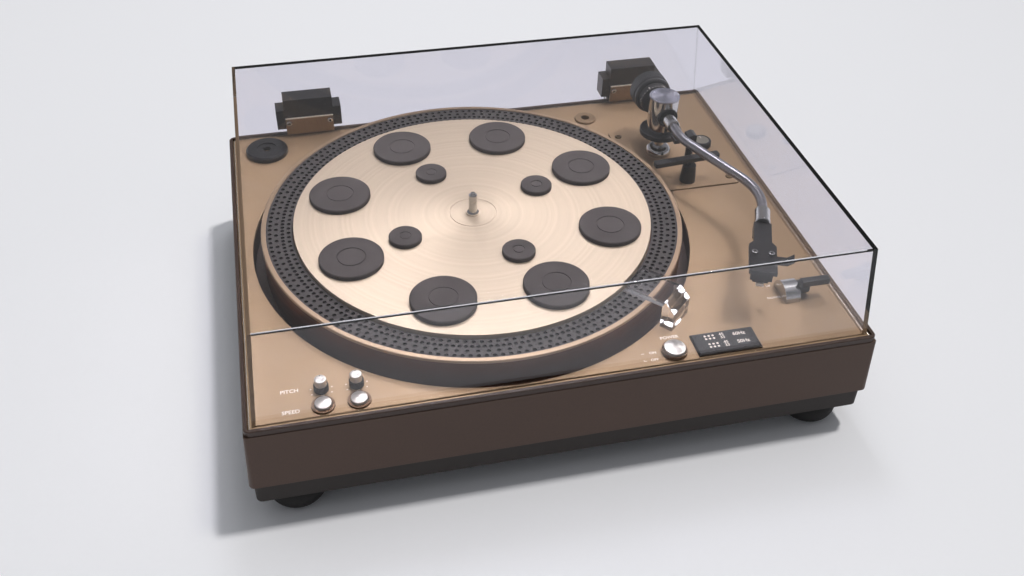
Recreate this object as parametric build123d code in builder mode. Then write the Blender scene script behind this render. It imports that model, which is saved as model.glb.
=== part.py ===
from build123d import *
from math import atan, cos, degrees, radians, sin
import os

os.makedirs("parts", exist_ok=True)

# Plinth, deck and feet
flare = 3
foot_height = 23
tray_height = 19
body_height = 50
rim_height = 5
rim_width = 3.5
rim_inset = 0.5
rim_bevel = 0.6
deck_thickness = 3
corner_radius = 5
tray_wall = 10
tray_floor = 4
case_wall = 8
deck_bevel = 0.8
foot_radius = 22
foot_sole_radius = 15
foot_neck_radius = 19
foot_dome_height = 8
foot_inset_x = 30
foot_inset_front = 24
foot_inset_back = 30
foot_screw_radius = 3
foot_screw_head_radius = 6
foot_screw_head_height = 3
foot_screw_bite = 6
boss_radius = 5
boss_height = 8

# Running fits and gaps
running_gap = 0.05
moving_gap = 0.3

# Platter
platter_gap = 8.5
well_left_margin = 15.5
well_front_margin = 10.5
well_back_margin = 6.5
arm_band_width = 93.5
well_wall = 2
well_depth = 18
well_floor = 3
platter_disc_height = 5
platter_top_rise = 19.5
platter_rim_radius = 177
strobe_band_width = 26.6
platter_rim_rise = 18.1
ring_seat_drop = 7
ring_seat_thickness = 5
skirt_thickness = 7
skirt_drop = 15
lip_width = 4
strobe_ring_outer_rise = 17.2
strobe_ring_inner_rise = 16.3
strobe_ring_gap = 1
hub_radius = 14
hub_drop = 12.5
hub_ring_radius = 6.2
hub_ring_height = 0.8
label_groove_radius = 19.5
label_groove_width = 0.5
label_groove_depth = 0.4
rib_share = 0.6915
rib_width = 4
rib_drop = 5

# Rubber pads on the platter
pad_height = 3.9
large_pad_share = 0.1729
large_pad_circle_share = 0.7746
large_pad_count = 8
large_pad_groove_share = 0.4346
small_pad_share = 0.0904
small_pad_circle_share = 0.4428
small_pad_count = 4
small_pad_groove_share = 0.338
pad_groove_width = 0.7
pad_groove_depth = 0.5
pad_edge_bevel = 0.7
pad_start_angle = 22.5

# Spindle, bearing and motor
spindle_radius = 3.6
spindle_shaft_radius = 5
spindle_tip_rise = 39.7
spindle_tip_taper = 2.2
spindle_tip_radius = 1.6
bearing_radius = 12
bearing_bottom = 46
bearing_top_rise = 1
bearing_floor = 4
flange_radius = 40
flange_height = 3
stator_hub_radius = 26
stator_height = 16
pole_count = 12
pole_width = 7
pole_height = 10
pole_root_radius = 25
pole_tip_radius = 52
stator_radius = 57.2
shoe_height = 12
shoe_gap = 4
coil_inner_radius = 28
coil_outer_radius = 50
coil_width = 13.4
coil_height = 14
magnet_inner_radius = 58
magnet_outer_radius = 66
magnet_height = 26

# Parts inside the base
transformer_from_left = 90
transformer_from_back = 68
transformer_width = 58
transformer_depth = 48
transformer_height = 38
coil_bobbin_width = 44
coil_bobbin_depth = 60
coil_bobbin_height = 24
board_from_right = 130
board_from_front = 110
board_width = 130
board_depth = 90
board_thickness = 1.6
board_boss_inset = 8
chip_width = 18
chip_depth = 8
chip_height = 4
capacitor_radius = 8
capacitor_height = 24

# Strobe periscope and lamp
prism_angle = -47.2
prism_overhang = 21.2
prism_foot_gap = 2.1
prism_foot_depth = 10.8
prism_half_width = 13.2
prism_arm_rise = 20
prism_arm_height = 5
prism_slope = 8
lamp_radius = 3.5
lamp_length = 16
lamp_hole_radius = 5

# Controls on the deck
power_from_right = 159.5
power_from_front = 20
power_cap_radius = 8.3
power_cap_rise = 5.5
power_collar_radius = 9.8
power_collar_height = 3
power_collar_inner = 8.7
speed_left_share = 0.3073
speed_right_share = 0.4453
speed_from_front = 18.7
speed_cap_radius = 6.1
speed_cap_rise = 3.7
speed_collar_radius = 8.5
speed_collar_inner = 6.5
speed_collar_height = 1.5
button_stem_depth = 10
button_head_depth = 5
button_stem_radius = 2.6
cap_edge_bevel = 0.6
knob_left_share = 0.3073
knob_right_share = 0.4442
knob_from_front = 34.5
knob_skirt_radius = 5.5
knob_skirt_height = 5.6
knob_cap_radius = 3.7
knob_cap_height = 5.6
knob_shaft_radius = 3
knob_shaft_depth = 11
legend_from_right = 117.2
legend_from_front = 21.8
legend_width = 50.8
legend_depth = 23
legend_height = 2.3
legend_bevel = 0.9

# Headshell store and single adaptor
socket_from_right = 133.5
socket_from_back = 34
socket_flange_radius = 10.4
socket_flange_height = 2
socket_barrel_radius = 7
socket_barrel_depth = 16
socket_bore_radius = 4.1
socket_bore_depth = 13
adaptor_from_left = 35
adaptor_from_back = 33.5
adaptor_radius = 19.2
adaptor_height = 5
adaptor_bore_radius = 3.7
adaptor_edge_bevel = 1.5
adaptor_dish_radius = 9
adaptor_dish_depth = 1

# Tonearm base
arm_from_right = 82
arm_behind_platter = 86
base_left_reach = 37
base_right_reach = 58.3
base_front_reach = 63.5
base_back_reach = 42.5
base_thickness = 1.2
base_corner = 5
base_well_gap = 3
base_screw_radius = 3.2
base_screw_height = 1
base_screw_offsets = ((-29.5, 32), (51, -53.5))
dome_radius = 12
dome_foot_height = 1.8
dome_top_radius = 7
dome_rise = 7.5
neck_radius = 5
neck_rise = 21.8
pillar_flange_radius = 19.5
pillar_flange_height = 4
pivot_post_radius = 4
pivot_post_height = 9
pillar_shank_depth = 16

# Pivot housing
housing_radius = 13.5
housing_height = 32.9
housing_cavity_radius = 11
housing_floor = 5
housing_cap_radius = 13.9
housing_cap_height = 1.8
housing_cap_bevel = 0.5
arm_axis_rise = 45.5
front_opening_radius = 8.5
rear_opening_radius = 7.2
pitch_pin_radius = 1.5
pitch_pin_inner = 4.2
block_radius = 6.5
block_half_length = 9

# S shaped tube and its joint with the shell
tube_radius = 4.1
tube_start = 10
sleeve_radius = 6.2
sleeve_length = 20
sleeve_bevel = 0.8
bend_radius = 55
first_bend_reach = 48.8
first_leg_angle = 23
second_leg_length = 98.6
last_leg_angle = 23
last_leg_length = 47.7
collar_length = 18
collar_radius = 6.4
collar_bevel = 0.6
plug_radius = 4
plug_length = 8
tube_end_gap = 8.5

# Headshell and cartridge
shell_rear_width = 14
shell_front_width = 21.2
shell_neck_length = 25
shell_flare_length = 5
shell_length = 60
shell_thickness = 3.5
shell_top_rise = 2
shell_block_length = 12
shell_block_drop = 6
screw_spacing = 12.7
screw_from_collar = 40.8
screw_radius = 1.25
screw_head_radius = 2.4
screw_head_height = 1.8
cartridge_width = 16.6
cartridge_nose_width = 12
cartridge_start = 33
cartridge_length = 23
cartridge_height = 9
cartridge_nose_height = 4
cartridge_nose_start = 38
cartridge_nose_length = 15
screw_depth = 9
stylus_width = 6
stylus_start = 46
stylus_length = 8.5
stylus_height = 2.6
stylus_reach = 50.6
stylus_tip_height = 1.4
stylus_tip_radius = 0.4
lift_start = 39
lift_width = 6.5
lift_reach = 13
lift_thickness = 1
lift_curl = 4
lift_curl_start = 8

# Counterweight and force dial
rear_shaft_radius = 4
rear_shaft_end = 52
bush_radius = 7
bush_start = 17.5
bush_end = 47
dial_radius = 14.5
dial_start = 18.5
dial_end = 26.2
weight_radius = 18
weight_start = 26.5
weight_end = 45
weight_edge_bevel = 1.2

# Arm rest and lifter
rest_right_of_arm = 14
rest_ahead_of_arm = 39
rest_post_radius = 3.5
rest_arm_left = -3.5
rest_arm_drop = 8.5
rest_arm_thickness = 2.9
rest_length = 10
rest_wall_offset = 6.4
rest_wall_thickness = 8
rest_wall_rise = 6
rest_edge_round = 1.5
lifter_right_of_arm = 11
lifter_ahead_of_arm = 51
lifter_base_radius = 7.3
lifter_top_radius = 6
lifter_height = 16.8
lifter_stem_radius = 5
lifter_stem_depth = 20
lifter_pin_radius = 1.5
lifter_floor = 2
bar_length = 63
bar_offset = -3.5
bar_width = 7
bar_height = 4
bar_rise = 22
bar_angle = 5
bar_edge_round = 1

# Cue lever
cue_right_of_arm = 35.2
cue_ahead_of_arm = 216
cue_housing_width = 12.5
cue_housing_radius = 12
cue_hub_width = 9.6
cue_hub_radius = 5.6
cue_axis_rise = 6
cue_axle_radius = 2
cue_axle_length = 9
cue_handle_offset = -6
cue_handle_rise = 15
cue_handle_length = 14
cue_handle_width = 6
cue_handle_height = 5.6
cue_web_width = 5

# Anti skating dial
skate_right_of_arm = 44.5
skate_behind_arm = 2
skate_radius = 9.3
skate_height = 8.5
skate_shaft_radius = 2.5
skate_shaft_depth = 9
skate_edge_bevel = 0.8

# Dust cover
cover_side_inset = 6.5
cover_side_lean = 7.9
cover_front_inset = 6.5
cover_front_lean = 6.6
cover_back_inset = 4.4
cover_back_lean = 4.4
cover_height = 80.3
cover_wall = 3

# Hinges at the back
hinge_from_side = 78
hinge_wide = 61.5
hinge_narrow = 46
hinge_wide_bottom_rise = 6.5
hinge_wide_top_rise = 27
hinge_top_rise = 38
hinge_block_reach = 11
hinge_pin_reach = 9
hinge_pin_drop = 4
hinge_pin_radius = 2.5
hinge_knuckle_radius = 5.5
hinge_tongue_width = 22
hinge_ear_width = 10
leaf_width = 56
leaf_bottom = 50
leaf_top_drop = 11
leaf_reach = 8
clamp_width = 45
clamp_bottom_rise = 1.8
clamp_top_rise = 19.5
clamp_thickness = 1.6
clamp_screw_offset = 19.4
clamp_screw_rise = 14.5
clamp_screw_radius = 1.6
clamp_screw_length = 12
clamp_screw_head_radius = 2.6
clamp_screw_head_height = 1.6

# Rear connections
signal_from_right = 150
signal_spacing = 18
signal_plate_width = 44
signal_plate_height = 14
signal_plate_thickness = 1.5
signal_barrel_radius = 4.15
signal_barrel_length = 9
signal_bore_radius = 1.7
signal_bore_depth = 8
gland_from_left = 60
gland_flange_radius = 7.5
gland_flange_thickness = 2
gland_nose_radius = 5.5
gland_nose_length = 7
gland_bore_radius = 3.3

# Levels and places worked out from the sizes above
tray_top = foot_height + tray_height
body_top = tray_top + body_height
deck_top = body_top + deck_thickness
well_radius = platter_rim_radius + platter_gap
plinth_width = well_left_margin + 2 * well_radius + arm_band_width
plinth_depth = well_front_margin + 2 * well_radius + well_back_margin
left_edge = -plinth_width / 2
right_edge = plinth_width / 2
hinge_reach = hinge_pin_reach + hinge_knuckle_radius
front_y = (flare - plinth_depth - hinge_reach) / 2
plinth_y = front_y + plinth_depth / 2
back_y = front_y + plinth_depth
flare_angle = degrees(atan(flare / body_height))
platter_x = left_edge + well_left_margin + well_radius
platter_y = front_y + well_front_margin + well_radius
platter_disc_radius = platter_rim_radius - strobe_band_width
rib_radius = platter_disc_radius * rib_share
platter_top = deck_top + platter_top_rise
disc_bottom = platter_top - platter_disc_height
well_top = body_top
well_floor_top = deck_top - well_depth
well_bottom = well_floor_top - well_floor
ring_seat_top = platter_top - ring_seat_drop
ring_seat_bottom = ring_seat_top - ring_seat_thickness
lip_top = deck_top + platter_rim_rise
skirt_bottom = deck_top - skirt_drop
tray_floor_top = foot_height + tray_floor
base_top = deck_top + base_thickness
arm_x = right_edge - arm_from_right
arm_y = platter_y + arm_behind_platter
arm_z = deck_top + arm_axis_rise
neck_top = base_top + neck_rise
flange_top = neck_top + pillar_flange_height
housing_bottom = flange_top + moving_gap
housing_top = housing_bottom + housing_height
pin_y = back_y + hinge_pin_reach
pin_z = deck_top - hinge_pin_drop
power_x = right_edge - power_from_right
board_x = right_edge - board_from_right
legend_x = right_edge - legend_from_right
speed_left_x = left_edge + well_radius * speed_left_share
speed_right_x = left_edge + well_radius * speed_right_share
knob_left_x = left_edge + well_radius * knob_left_share
knob_right_x = left_edge + well_radius * knob_right_share
socket_x = right_edge - socket_from_right
socket_y = back_y - socket_from_back
lifter_x = arm_x + lifter_right_of_arm
lifter_y = arm_y - lifter_ahead_of_arm
cue_x = arm_x + cue_right_of_arm
cue_y = arm_y - cue_ahead_of_arm
skate_x = arm_x + skate_right_of_arm
skate_y = arm_y + skate_behind_arm
prism_foot_inner_radius = well_radius + prism_foot_gap
prism_outer_radius = prism_foot_inner_radius + prism_foot_depth
cover_half_width = plinth_width / 2 - cover_side_inset


# Outer back face of the dust cover at a height
def cover_back_at(height):
    return back_y - cover_back_inset - cover_back_lean * (height - deck_top) / cover_height


# Outer back face of the plinth at a height
def plinth_back_at(height):
    return back_y + flare * (body_top - height) / body_height


# A round layer, its underside at a height
def disc_layer(centre_x, centre_y, bottom, radius, height, mode=Mode.ADD):
    with BuildSketch(Plane((centre_x, centre_y, bottom))) as outline:
        Circle(radius)
    extrude(outline.sketch, amount=height, mode=mode)


# A ring layer, its underside at a height
def ring_layer(centre_x, centre_y, bottom, outer, inner, height, mode=Mode.ADD):
    with BuildSketch(Plane((centre_x, centre_y, bottom))) as outline:
        Circle(outer)
        Circle(inner, mode=Mode.SUBTRACT)
    extrude(outline.sketch, amount=height, mode=mode)


# A block standing on a height
def block_layer(centre_x, centre_y, bottom, width, depth, height, mode=Mode.ADD):
    with BuildSketch(Plane((centre_x, centre_y, bottom))) as outline:
        Rectangle(width, depth)
    extrude(outline.sketch, amount=height, mode=mode)


# A side profile of depth and height points, widened both ways from a middle
def side_profile(centre_x, points, width, mode=Mode.ADD):
    with BuildSketch(Plane((centre_x, 0, 0), x_dir=(0, 1, 0), z_dir=(1, 0, 0))) as outline:
        Polygon(*points, align=None)
    extrude(outline.sketch, amount=width / 2, both=True, mode=mode)


# A place on the last straight leg of the arm, forward of the collar and to its right
def shell_point(forward, sideways, rise=0):
    angle = radians(last_leg_angle)
    x = arm_end_x - forward * sin(angle) + sideways * cos(angle)
    y = arm_end_y - forward * cos(angle) - sideways * sin(angle)
    return (x, y, arm_z + rise)


# A plane whose X runs forward along the shell, at a rise over the arm's axis
def shell_plane(rise):
    angle = radians(last_leg_angle)
    return Plane(shell_point(0, 0, rise), x_dir=(-sin(angle), -cos(angle), 0), z_dir=(0, 0, 1))


# A plane across the shell's axis, facing forward
def shell_cross_plane(forward):
    angle = radians(last_leg_angle)
    return Plane(
        shell_point(forward, 0),
        x_dir=(cos(angle), -sin(angle), 0),
        z_dir=(-sin(angle), -cos(angle), 0),
    )


second_bend_x = second_leg_length * sin(radians(first_leg_angle))
arm_end_x = arm_x + second_bend_x - last_leg_length * sin(radians(last_leg_angle))
arm_bend_y = arm_y - first_bend_reach - second_leg_length * cos(radians(first_leg_angle))
arm_end_y = arm_bend_y - last_leg_length * cos(radians(last_leg_angle))

# Case of the plinth, leaning in towards the top
with BuildPart() as plinth_body:
    with BuildSketch(Plane((0, plinth_y, tray_top))):
        RectangleRounded(plinth_width + 2 * flare, plinth_depth + 2 * flare, corner_radius)
    extrude(amount=body_height, taper=flare_angle)
    block_layer(
        0,
        plinth_y,
        tray_top,
        plinth_width - 2 * case_wall,
        plinth_depth - 2 * case_wall,
        body_height,
        Mode.SUBTRACT,
    )
    disc_layer(
        platter_x,
        platter_y,
        well_bottom - moving_gap,
        well_radius + well_wall + moving_gap,
        body_height,
        Mode.SUBTRACT,
    )

# Dark tray that closes the plinth below
foot_points = [
    (side * (plinth_width / 2 - foot_inset_x), foot_y)
    for side in (-1, 1)
    for foot_y in (front_y + foot_inset_front, back_y - foot_inset_back)
]
with BuildPart() as base_tray:
    with BuildSketch(Plane((0, plinth_y, foot_height))):
        RectangleRounded(plinth_width, plinth_depth, corner_radius)
    extrude(amount=tray_height)
    block_layer(
        0,
        plinth_y,
        tray_floor_top,
        plinth_width - 2 * tray_wall,
        plinth_depth - 2 * tray_wall,
        tray_height,
        Mode.SUBTRACT,
    )
    with BuildSketch(Plane((board_x, front_y + board_from_front, tray_floor_top))):
        with GridLocations(board_width - 2 * board_boss_inset, board_depth - 2 * board_boss_inset, 2, 2):
            Circle(boss_radius)
    extrude(amount=boss_height)
    for foot_x, foot_y in foot_points:
        disc_layer(foot_x, foot_y, foot_height, foot_screw_radius, tray_floor, Mode.SUBTRACT)

# Dark edge frame round the deck
with BuildPart() as rim_trim:
    with BuildSketch(Plane((0, plinth_y, body_top))):
        RectangleRounded(plinth_width - 2 * rim_inset, plinth_depth - 2 * rim_inset, corner_radius)
    extrude(amount=rim_height)
    chamfer(rim_trim.faces().sort_by(Axis.Z)[-1].edges(), rim_bevel)
    block_layer(
        0,
        plinth_y,
        body_top,
        plinth_width - 2 * rim_width,
        plinth_depth - 2 * rim_width,
        rim_height,
        Mode.SUBTRACT,
    )

# Deck plate with the openings for all that stands in it
lamp_circle = prism_foot_inner_radius + prism_foot_depth / 2
lamp_x = platter_x + lamp_circle * cos(radians(prism_angle))
lamp_y = platter_y + lamp_circle * sin(radians(prism_angle))
deck_holes = (
    (platter_x, platter_y, well_radius),
    (power_x, front_y + power_from_front, power_collar_inner),
    (speed_left_x, front_y + speed_from_front, speed_collar_inner),
    (speed_right_x, front_y + speed_from_front, speed_collar_inner),
    (knob_left_x, front_y + knob_from_front, knob_shaft_radius + running_gap),
    (knob_right_x, front_y + knob_from_front, knob_shaft_radius + running_gap),
    (socket_x, socket_y, socket_barrel_radius),
    (arm_x, arm_y, neck_radius),
    (lifter_x, lifter_y, lifter_stem_radius),
    (skate_x, skate_y, skate_shaft_radius + running_gap),
    (lamp_x, lamp_y, lamp_hole_radius),
)
with BuildPart() as deck_plate:
    block_layer(
        0,
        plinth_y,
        body_top,
        plinth_width - 2 * rim_width,
        plinth_depth - 2 * rim_width,
        deck_thickness,
    )
    chamfer(deck_plate.faces().sort_by(Axis.Z)[-1].edges(), deck_bevel)
    for hole_x, hole_y, hole_radius in deck_holes:
        disc_layer(hole_x, hole_y, body_top, hole_radius, deck_thickness, Mode.SUBTRACT)

# Sunken well under the platter
with BuildPart() as platter_well:
    disc_layer(platter_x, platter_y, well_bottom, well_radius + well_wall, well_top - well_bottom)
    disc_layer(platter_x, platter_y, well_floor_top, well_radius, well_depth, Mode.SUBTRACT)
    disc_layer(platter_x, platter_y, well_bottom, bearing_radius, well_floor, Mode.SUBTRACT)

# Four domed rubber feet and the screws that hold them
with BuildPart() as rubber_feet:
    for foot_x, foot_y in foot_points:
        with BuildSketch(Plane((foot_x, foot_y, 0), x_dir=(1, 0, 0), z_dir=(0, -1, 0))):
            with BuildLine():
                Polyline((0, foot_height), (0, 0), (foot_sole_radius, 0))
                ThreePointArc(
                    (foot_sole_radius, 0),
                    (foot_radius, foot_dome_height),
                    (foot_neck_radius, foot_height),
                )
                Line((foot_neck_radius, foot_height), (0, foot_height))
            make_face()
        revolve(axis=Axis((foot_x, foot_y, 0), (0, 0, 1)))
        disc_layer(
            foot_x,
            foot_y,
            foot_height - foot_screw_bite,
            foot_screw_radius,
            foot_screw_bite,
            Mode.SUBTRACT,
        )

with BuildPart() as foot_screws:
    for foot_x, foot_y in foot_points:
        disc_layer(
            foot_x,
            foot_y,
            foot_height - foot_screw_bite,
            foot_screw_radius,
            foot_screw_bite + tray_floor,
        )
        disc_layer(foot_x, foot_y, tray_floor_top, foot_screw_head_radius, foot_screw_head_height)

# Platter casting, its underside ribbed and carrying the rotor
with BuildPart() as platter:
    disc_layer(platter_x, platter_y, disc_bottom, platter_disc_radius, platter_disc_height)
    ring_layer(
        platter_x,
        platter_y,
        ring_seat_bottom,
        platter_rim_radius,
        rib_radius,
        ring_seat_thickness,
    )
    ring_layer(
        platter_x,
        platter_y,
        ring_seat_top,
        platter_disc_radius,
        rib_radius,
        disc_bottom - ring_seat_top,
    )
    ring_layer(
        platter_x,
        platter_y,
        skirt_bottom,
        platter_rim_radius,
        platter_rim_radius - skirt_thickness,
        ring_seat_bottom - skirt_bottom,
    )
    ring_layer(
        platter_x,
        platter_y,
        disc_bottom - rib_drop,
        rib_radius,
        rib_radius - rib_width,
        rib_drop,
    )
    disc_layer(platter_x, platter_y, disc_bottom - hub_drop, hub_radius, hub_drop)
    disc_layer(platter_x, platter_y, platter_top, hub_ring_radius, hub_ring_height)
    ring_layer(
        platter_x,
        platter_y,
        platter_top - label_groove_depth,
        label_groove_radius + label_groove_width,
        label_groove_radius,
        label_groove_depth,
        Mode.SUBTRACT,
    )
    disc_layer(
        platter_x,
        platter_y,
        disc_bottom - hub_drop,
        spindle_shaft_radius,
        hub_drop + platter_disc_height + hub_ring_height,
        Mode.SUBTRACT,
    )

# Metal lip round the rim
with BuildPart() as platter_lip:
    ring_layer(
        platter_x,
        platter_y,
        ring_seat_top,
        platter_rim_radius,
        platter_rim_radius - lip_width,
        lip_top - ring_seat_top,
    )
    chamfer(platter_lip.faces().sort_by(Axis.Z)[-1].outer_wire().edges(), cap_edge_bevel)

# Dark strobe ring, rising a little towards the lip
strobe_inner = platter_disc_radius + strobe_ring_gap
strobe_outer = platter_rim_radius - lip_width
with BuildPart() as strobe_ring:
    with BuildSketch(Plane((platter_x, platter_y, 0), x_dir=(1, 0, 0), z_dir=(0, -1, 0))):
        Polygon(
            (strobe_inner, ring_seat_top),
            (strobe_outer, ring_seat_top),
            (strobe_outer, deck_top + strobe_ring_outer_rise),
            (strobe_inner, deck_top + strobe_ring_inner_rise),
            align=None,
        )
    revolve(axis=Axis((platter_x, platter_y, 0), (0, 0, 1)))


# Rubber pads in a circle, each with a shallow groove
def pad_circle(pad_share, circle_share, count, groove_share):
    pad_radius = platter_disc_radius * pad_share
    circle_radius = platter_disc_radius * circle_share
    groove_radius = pad_radius * groove_share
    pad_plane = Plane((platter_x, platter_y, platter_top))
    with BuildSketch(pad_plane) as pads:
        with PolarLocations(circle_radius, count, start_angle=pad_start_angle):
            Circle(pad_radius)
    extrude(pads.sketch, amount=pad_height)
    pad_tops = faces(Select.LAST).filter_by(Axis.Z).sort_by(Axis.Z)[-count:]
    chamfer(pad_tops.edges(), pad_edge_bevel)
    with BuildSketch(pad_plane.offset(pad_height - pad_groove_depth)) as grooves:
        with PolarLocations(circle_radius, count, start_angle=pad_start_angle):
            Circle(groove_radius + pad_groove_width / 2)
            Circle(groove_radius - pad_groove_width / 2, mode=Mode.SUBTRACT)
    extrude(grooves.sketch, amount=pad_groove_depth, mode=Mode.SUBTRACT)


with BuildPart() as platter_pads:
    pad_circle(large_pad_share, large_pad_circle_share, large_pad_count, large_pad_groove_share)
    pad_circle(small_pad_share, small_pad_circle_share, small_pad_count, small_pad_groove_share)

# Spindle with a tapered tip, standing in the bearing
spindle_bottom = bearing_bottom + bearing_floor + running_gap
spindle_top = deck_top + spindle_tip_rise
with BuildPart() as spindle:
    with BuildSketch(Plane((platter_x, platter_y, 0), x_dir=(1, 0, 0), z_dir=(0, -1, 0))):
        Polygon(
            (0, spindle_bottom),
            (spindle_shaft_radius, spindle_bottom),
            (spindle_shaft_radius, platter_top + hub_ring_height),
            (spindle_radius, platter_top + hub_ring_height),
            (spindle_radius, spindle_top - spindle_tip_taper),
            (spindle_tip_radius, spindle_top),
            (0, spindle_top),
            align=None,
        )
    revolve(axis=Axis((platter_x, platter_y, 0), (0, 0, 1)))

# Bearing housing hung in the middle of the well
bearing_top = disc_bottom - hub_drop - bearing_top_rise
with BuildPart() as bearing_housing:
    disc_layer(platter_x, platter_y, bearing_bottom, bearing_radius, bearing_top - bearing_bottom)
    disc_layer(platter_x, platter_y, well_floor_top, flange_radius, flange_height)
    disc_layer(
        platter_x,
        platter_y,
        bearing_bottom + bearing_floor,
        spindle_shaft_radius + running_gap,
        bearing_top,
        Mode.SUBTRACT,
    )

# Motor stator, its poles wound with coils
stator_bottom = well_floor_top + flange_height
pole_bottom = stator_bottom + (stator_height - pole_height) / 2
pole_turn = 360 / pole_count


# Bars or blocks set radially round the motor's axis
def radial_bars(inner, outer, width, bottom, height, mode=Mode.ADD):
    with BuildSketch(Plane((platter_x, platter_y, bottom))) as bars:
        with PolarLocations((inner + outer) / 2, pole_count):
            Rectangle(outer - inner, width)
    extrude(bars.sketch, amount=height, mode=mode)


with BuildPart() as motor_stator:
    ring_layer(
        platter_x,
        platter_y,
        stator_bottom,
        stator_hub_radius,
        bearing_radius,
        stator_height,
    )
    radial_bars(pole_root_radius, pole_tip_radius, pole_width, pole_bottom, pole_height)
    coil_bottom = stator_bottom + (stator_height - coil_height) / 2
    radial_bars(coil_inner_radius, coil_outer_radius, coil_width, coil_bottom, coil_height)
    shoe_bottom = stator_bottom + (stator_height - shoe_height) / 2
    with BuildSketch(Plane((platter_x, platter_y, shoe_bottom))):
        Circle(stator_radius)
        Circle(pole_tip_radius - moving_gap, mode=Mode.SUBTRACT)
        with PolarLocations(stator_radius, pole_count, start_angle=pole_turn / 2):
            Rectangle(pole_tip_radius / 2, shoe_gap, mode=Mode.SUBTRACT)
    extrude(amount=shoe_height)

# Ring magnet under the platter
with BuildPart() as rotor_magnet:
    ring_layer(
        platter_x,
        platter_y,
        disc_bottom - magnet_height,
        magnet_outer_radius,
        magnet_inner_radius,
        magnet_height,
    )

# Mains transformer and control board on the tray's floor
with BuildPart() as transformer:
    transformer_x = left_edge + transformer_from_left
    transformer_y = back_y - transformer_from_back
    block_layer(
        transformer_x,
        transformer_y,
        tray_floor_top,
        transformer_width,
        transformer_depth,
        transformer_height,
    )
    block_layer(
        transformer_x,
        transformer_y,
        tray_floor_top + (transformer_height - coil_bobbin_height) / 2,
        coil_bobbin_width,
        coil_bobbin_depth,
        coil_bobbin_height,
    )

with BuildPart() as control_board:
    board_y = front_y + board_from_front
    board_bottom = tray_floor_top + boss_height
    board_top = board_bottom + board_thickness
    block_layer(board_x, board_y, board_bottom, board_width, board_depth, board_thickness)
    for column in (-1, 0, 1):
        block_layer(
            board_x + column * chip_width * 2,
            board_y + chip_depth * 2,
            board_top,
            chip_width,
            chip_depth,
            chip_height,
        )
        disc_layer(
            board_x + column * chip_width * 2,
            board_y - capacitor_radius * 2,
            board_top,
            capacitor_radius,
            capacitor_height,
        )

# Lamp below the periscope
with BuildPart() as strobe_lamp:
    disc_layer(lamp_x, lamp_y, deck_top - lamp_length, lamp_radius, lamp_length)
    disc_layer(lamp_x, lamp_y, body_top, lamp_hole_radius, flange_height)

# Clear periscope that looks down on the strobe ring
prism_turn = radians(prism_angle)
prism_across = Plane(
    (platter_x, platter_y, 0),
    x_dir=(cos(prism_turn), sin(prism_turn), 0),
    z_dir=(sin(prism_turn), -cos(prism_turn), 0),
)
with BuildPart() as strobe_prism:
    prism_arm_bottom = deck_top + prism_arm_rise
    prism_top = prism_arm_bottom + prism_arm_height
    with BuildSketch(prism_across):
        Polygon(
            (prism_foot_inner_radius, deck_top),
            (prism_outer_radius, deck_top),
            (prism_outer_radius, prism_top - prism_slope),
            (prism_outer_radius - prism_slope, prism_top),
            (platter_rim_radius - prism_overhang, prism_top),
            (platter_rim_radius - prism_overhang, prism_arm_bottom),
            (prism_foot_inner_radius, prism_arm_bottom),
            align=None,
        )
    extrude(amount=prism_half_width, both=True)


# A push button with a wider head under the deck
def push_button(centre_x, centre_y, cap_radius, cap_rise):
    disc_layer(
        centre_x,
        centre_y,
        deck_top - button_head_depth,
        cap_radius,
        button_head_depth + cap_rise,
    )
    chamfer(faces().sort_by(Axis.Z)[-1].edges(), cap_edge_bevel)
    disc_layer(
        centre_x,
        centre_y,
        deck_top - button_head_depth - button_stem_depth,
        button_stem_radius,
        button_stem_depth,
    )


with BuildPart() as power_button:
    push_button(power_x, front_y + power_from_front, power_cap_radius, power_cap_rise)

with BuildPart() as speed_button_33:
    push_button(speed_left_x, front_y + speed_from_front, speed_cap_radius, speed_cap_rise)

with BuildPart() as speed_button_45:
    push_button(speed_right_x, front_y + speed_from_front, speed_cap_radius, speed_cap_rise)

with BuildPart() as button_collars:
    ring_layer(
        power_x,
        front_y + power_from_front,
        deck_top,
        power_collar_radius,
        power_collar_inner,
        power_collar_height,
    )
    for collar_x in (speed_left_x, speed_right_x):
        ring_layer(
            collar_x,
            front_y + speed_from_front,
            deck_top,
            speed_collar_radius,
            speed_collar_inner,
            speed_collar_height,
        )


# A small two step knob on its shaft
def pitch_knob(centre_x):
    knob_y = front_y + knob_from_front
    knob_bottom = deck_top + moving_gap
    disc_layer(centre_x, knob_y, knob_bottom, knob_skirt_radius, knob_skirt_height)
    chamfer(faces().sort_by(Axis.Z)[-1].edges(), cap_edge_bevel)
    disc_layer(centre_x, knob_y, knob_bottom + knob_skirt_height, knob_cap_radius, knob_cap_height)
    disc_layer(
        centre_x,
        knob_y,
        deck_top - knob_shaft_depth,
        knob_shaft_radius,
        knob_shaft_depth + moving_gap,
    )


with BuildPart() as pitch_knob_33:
    pitch_knob(knob_left_x)

with BuildPart() as pitch_knob_45:
    pitch_knob(knob_right_x)

# Raised plate that explains the strobe rows
with BuildPart() as legend_plate:
    block_layer(
        legend_x,
        front_y + legend_from_front,
        deck_top,
        legend_width,
        legend_depth,
        legend_height,
    )
    chamfer(legend_plate.faces().sort_by(Axis.Z)[-1].edges(), legend_bevel)

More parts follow.
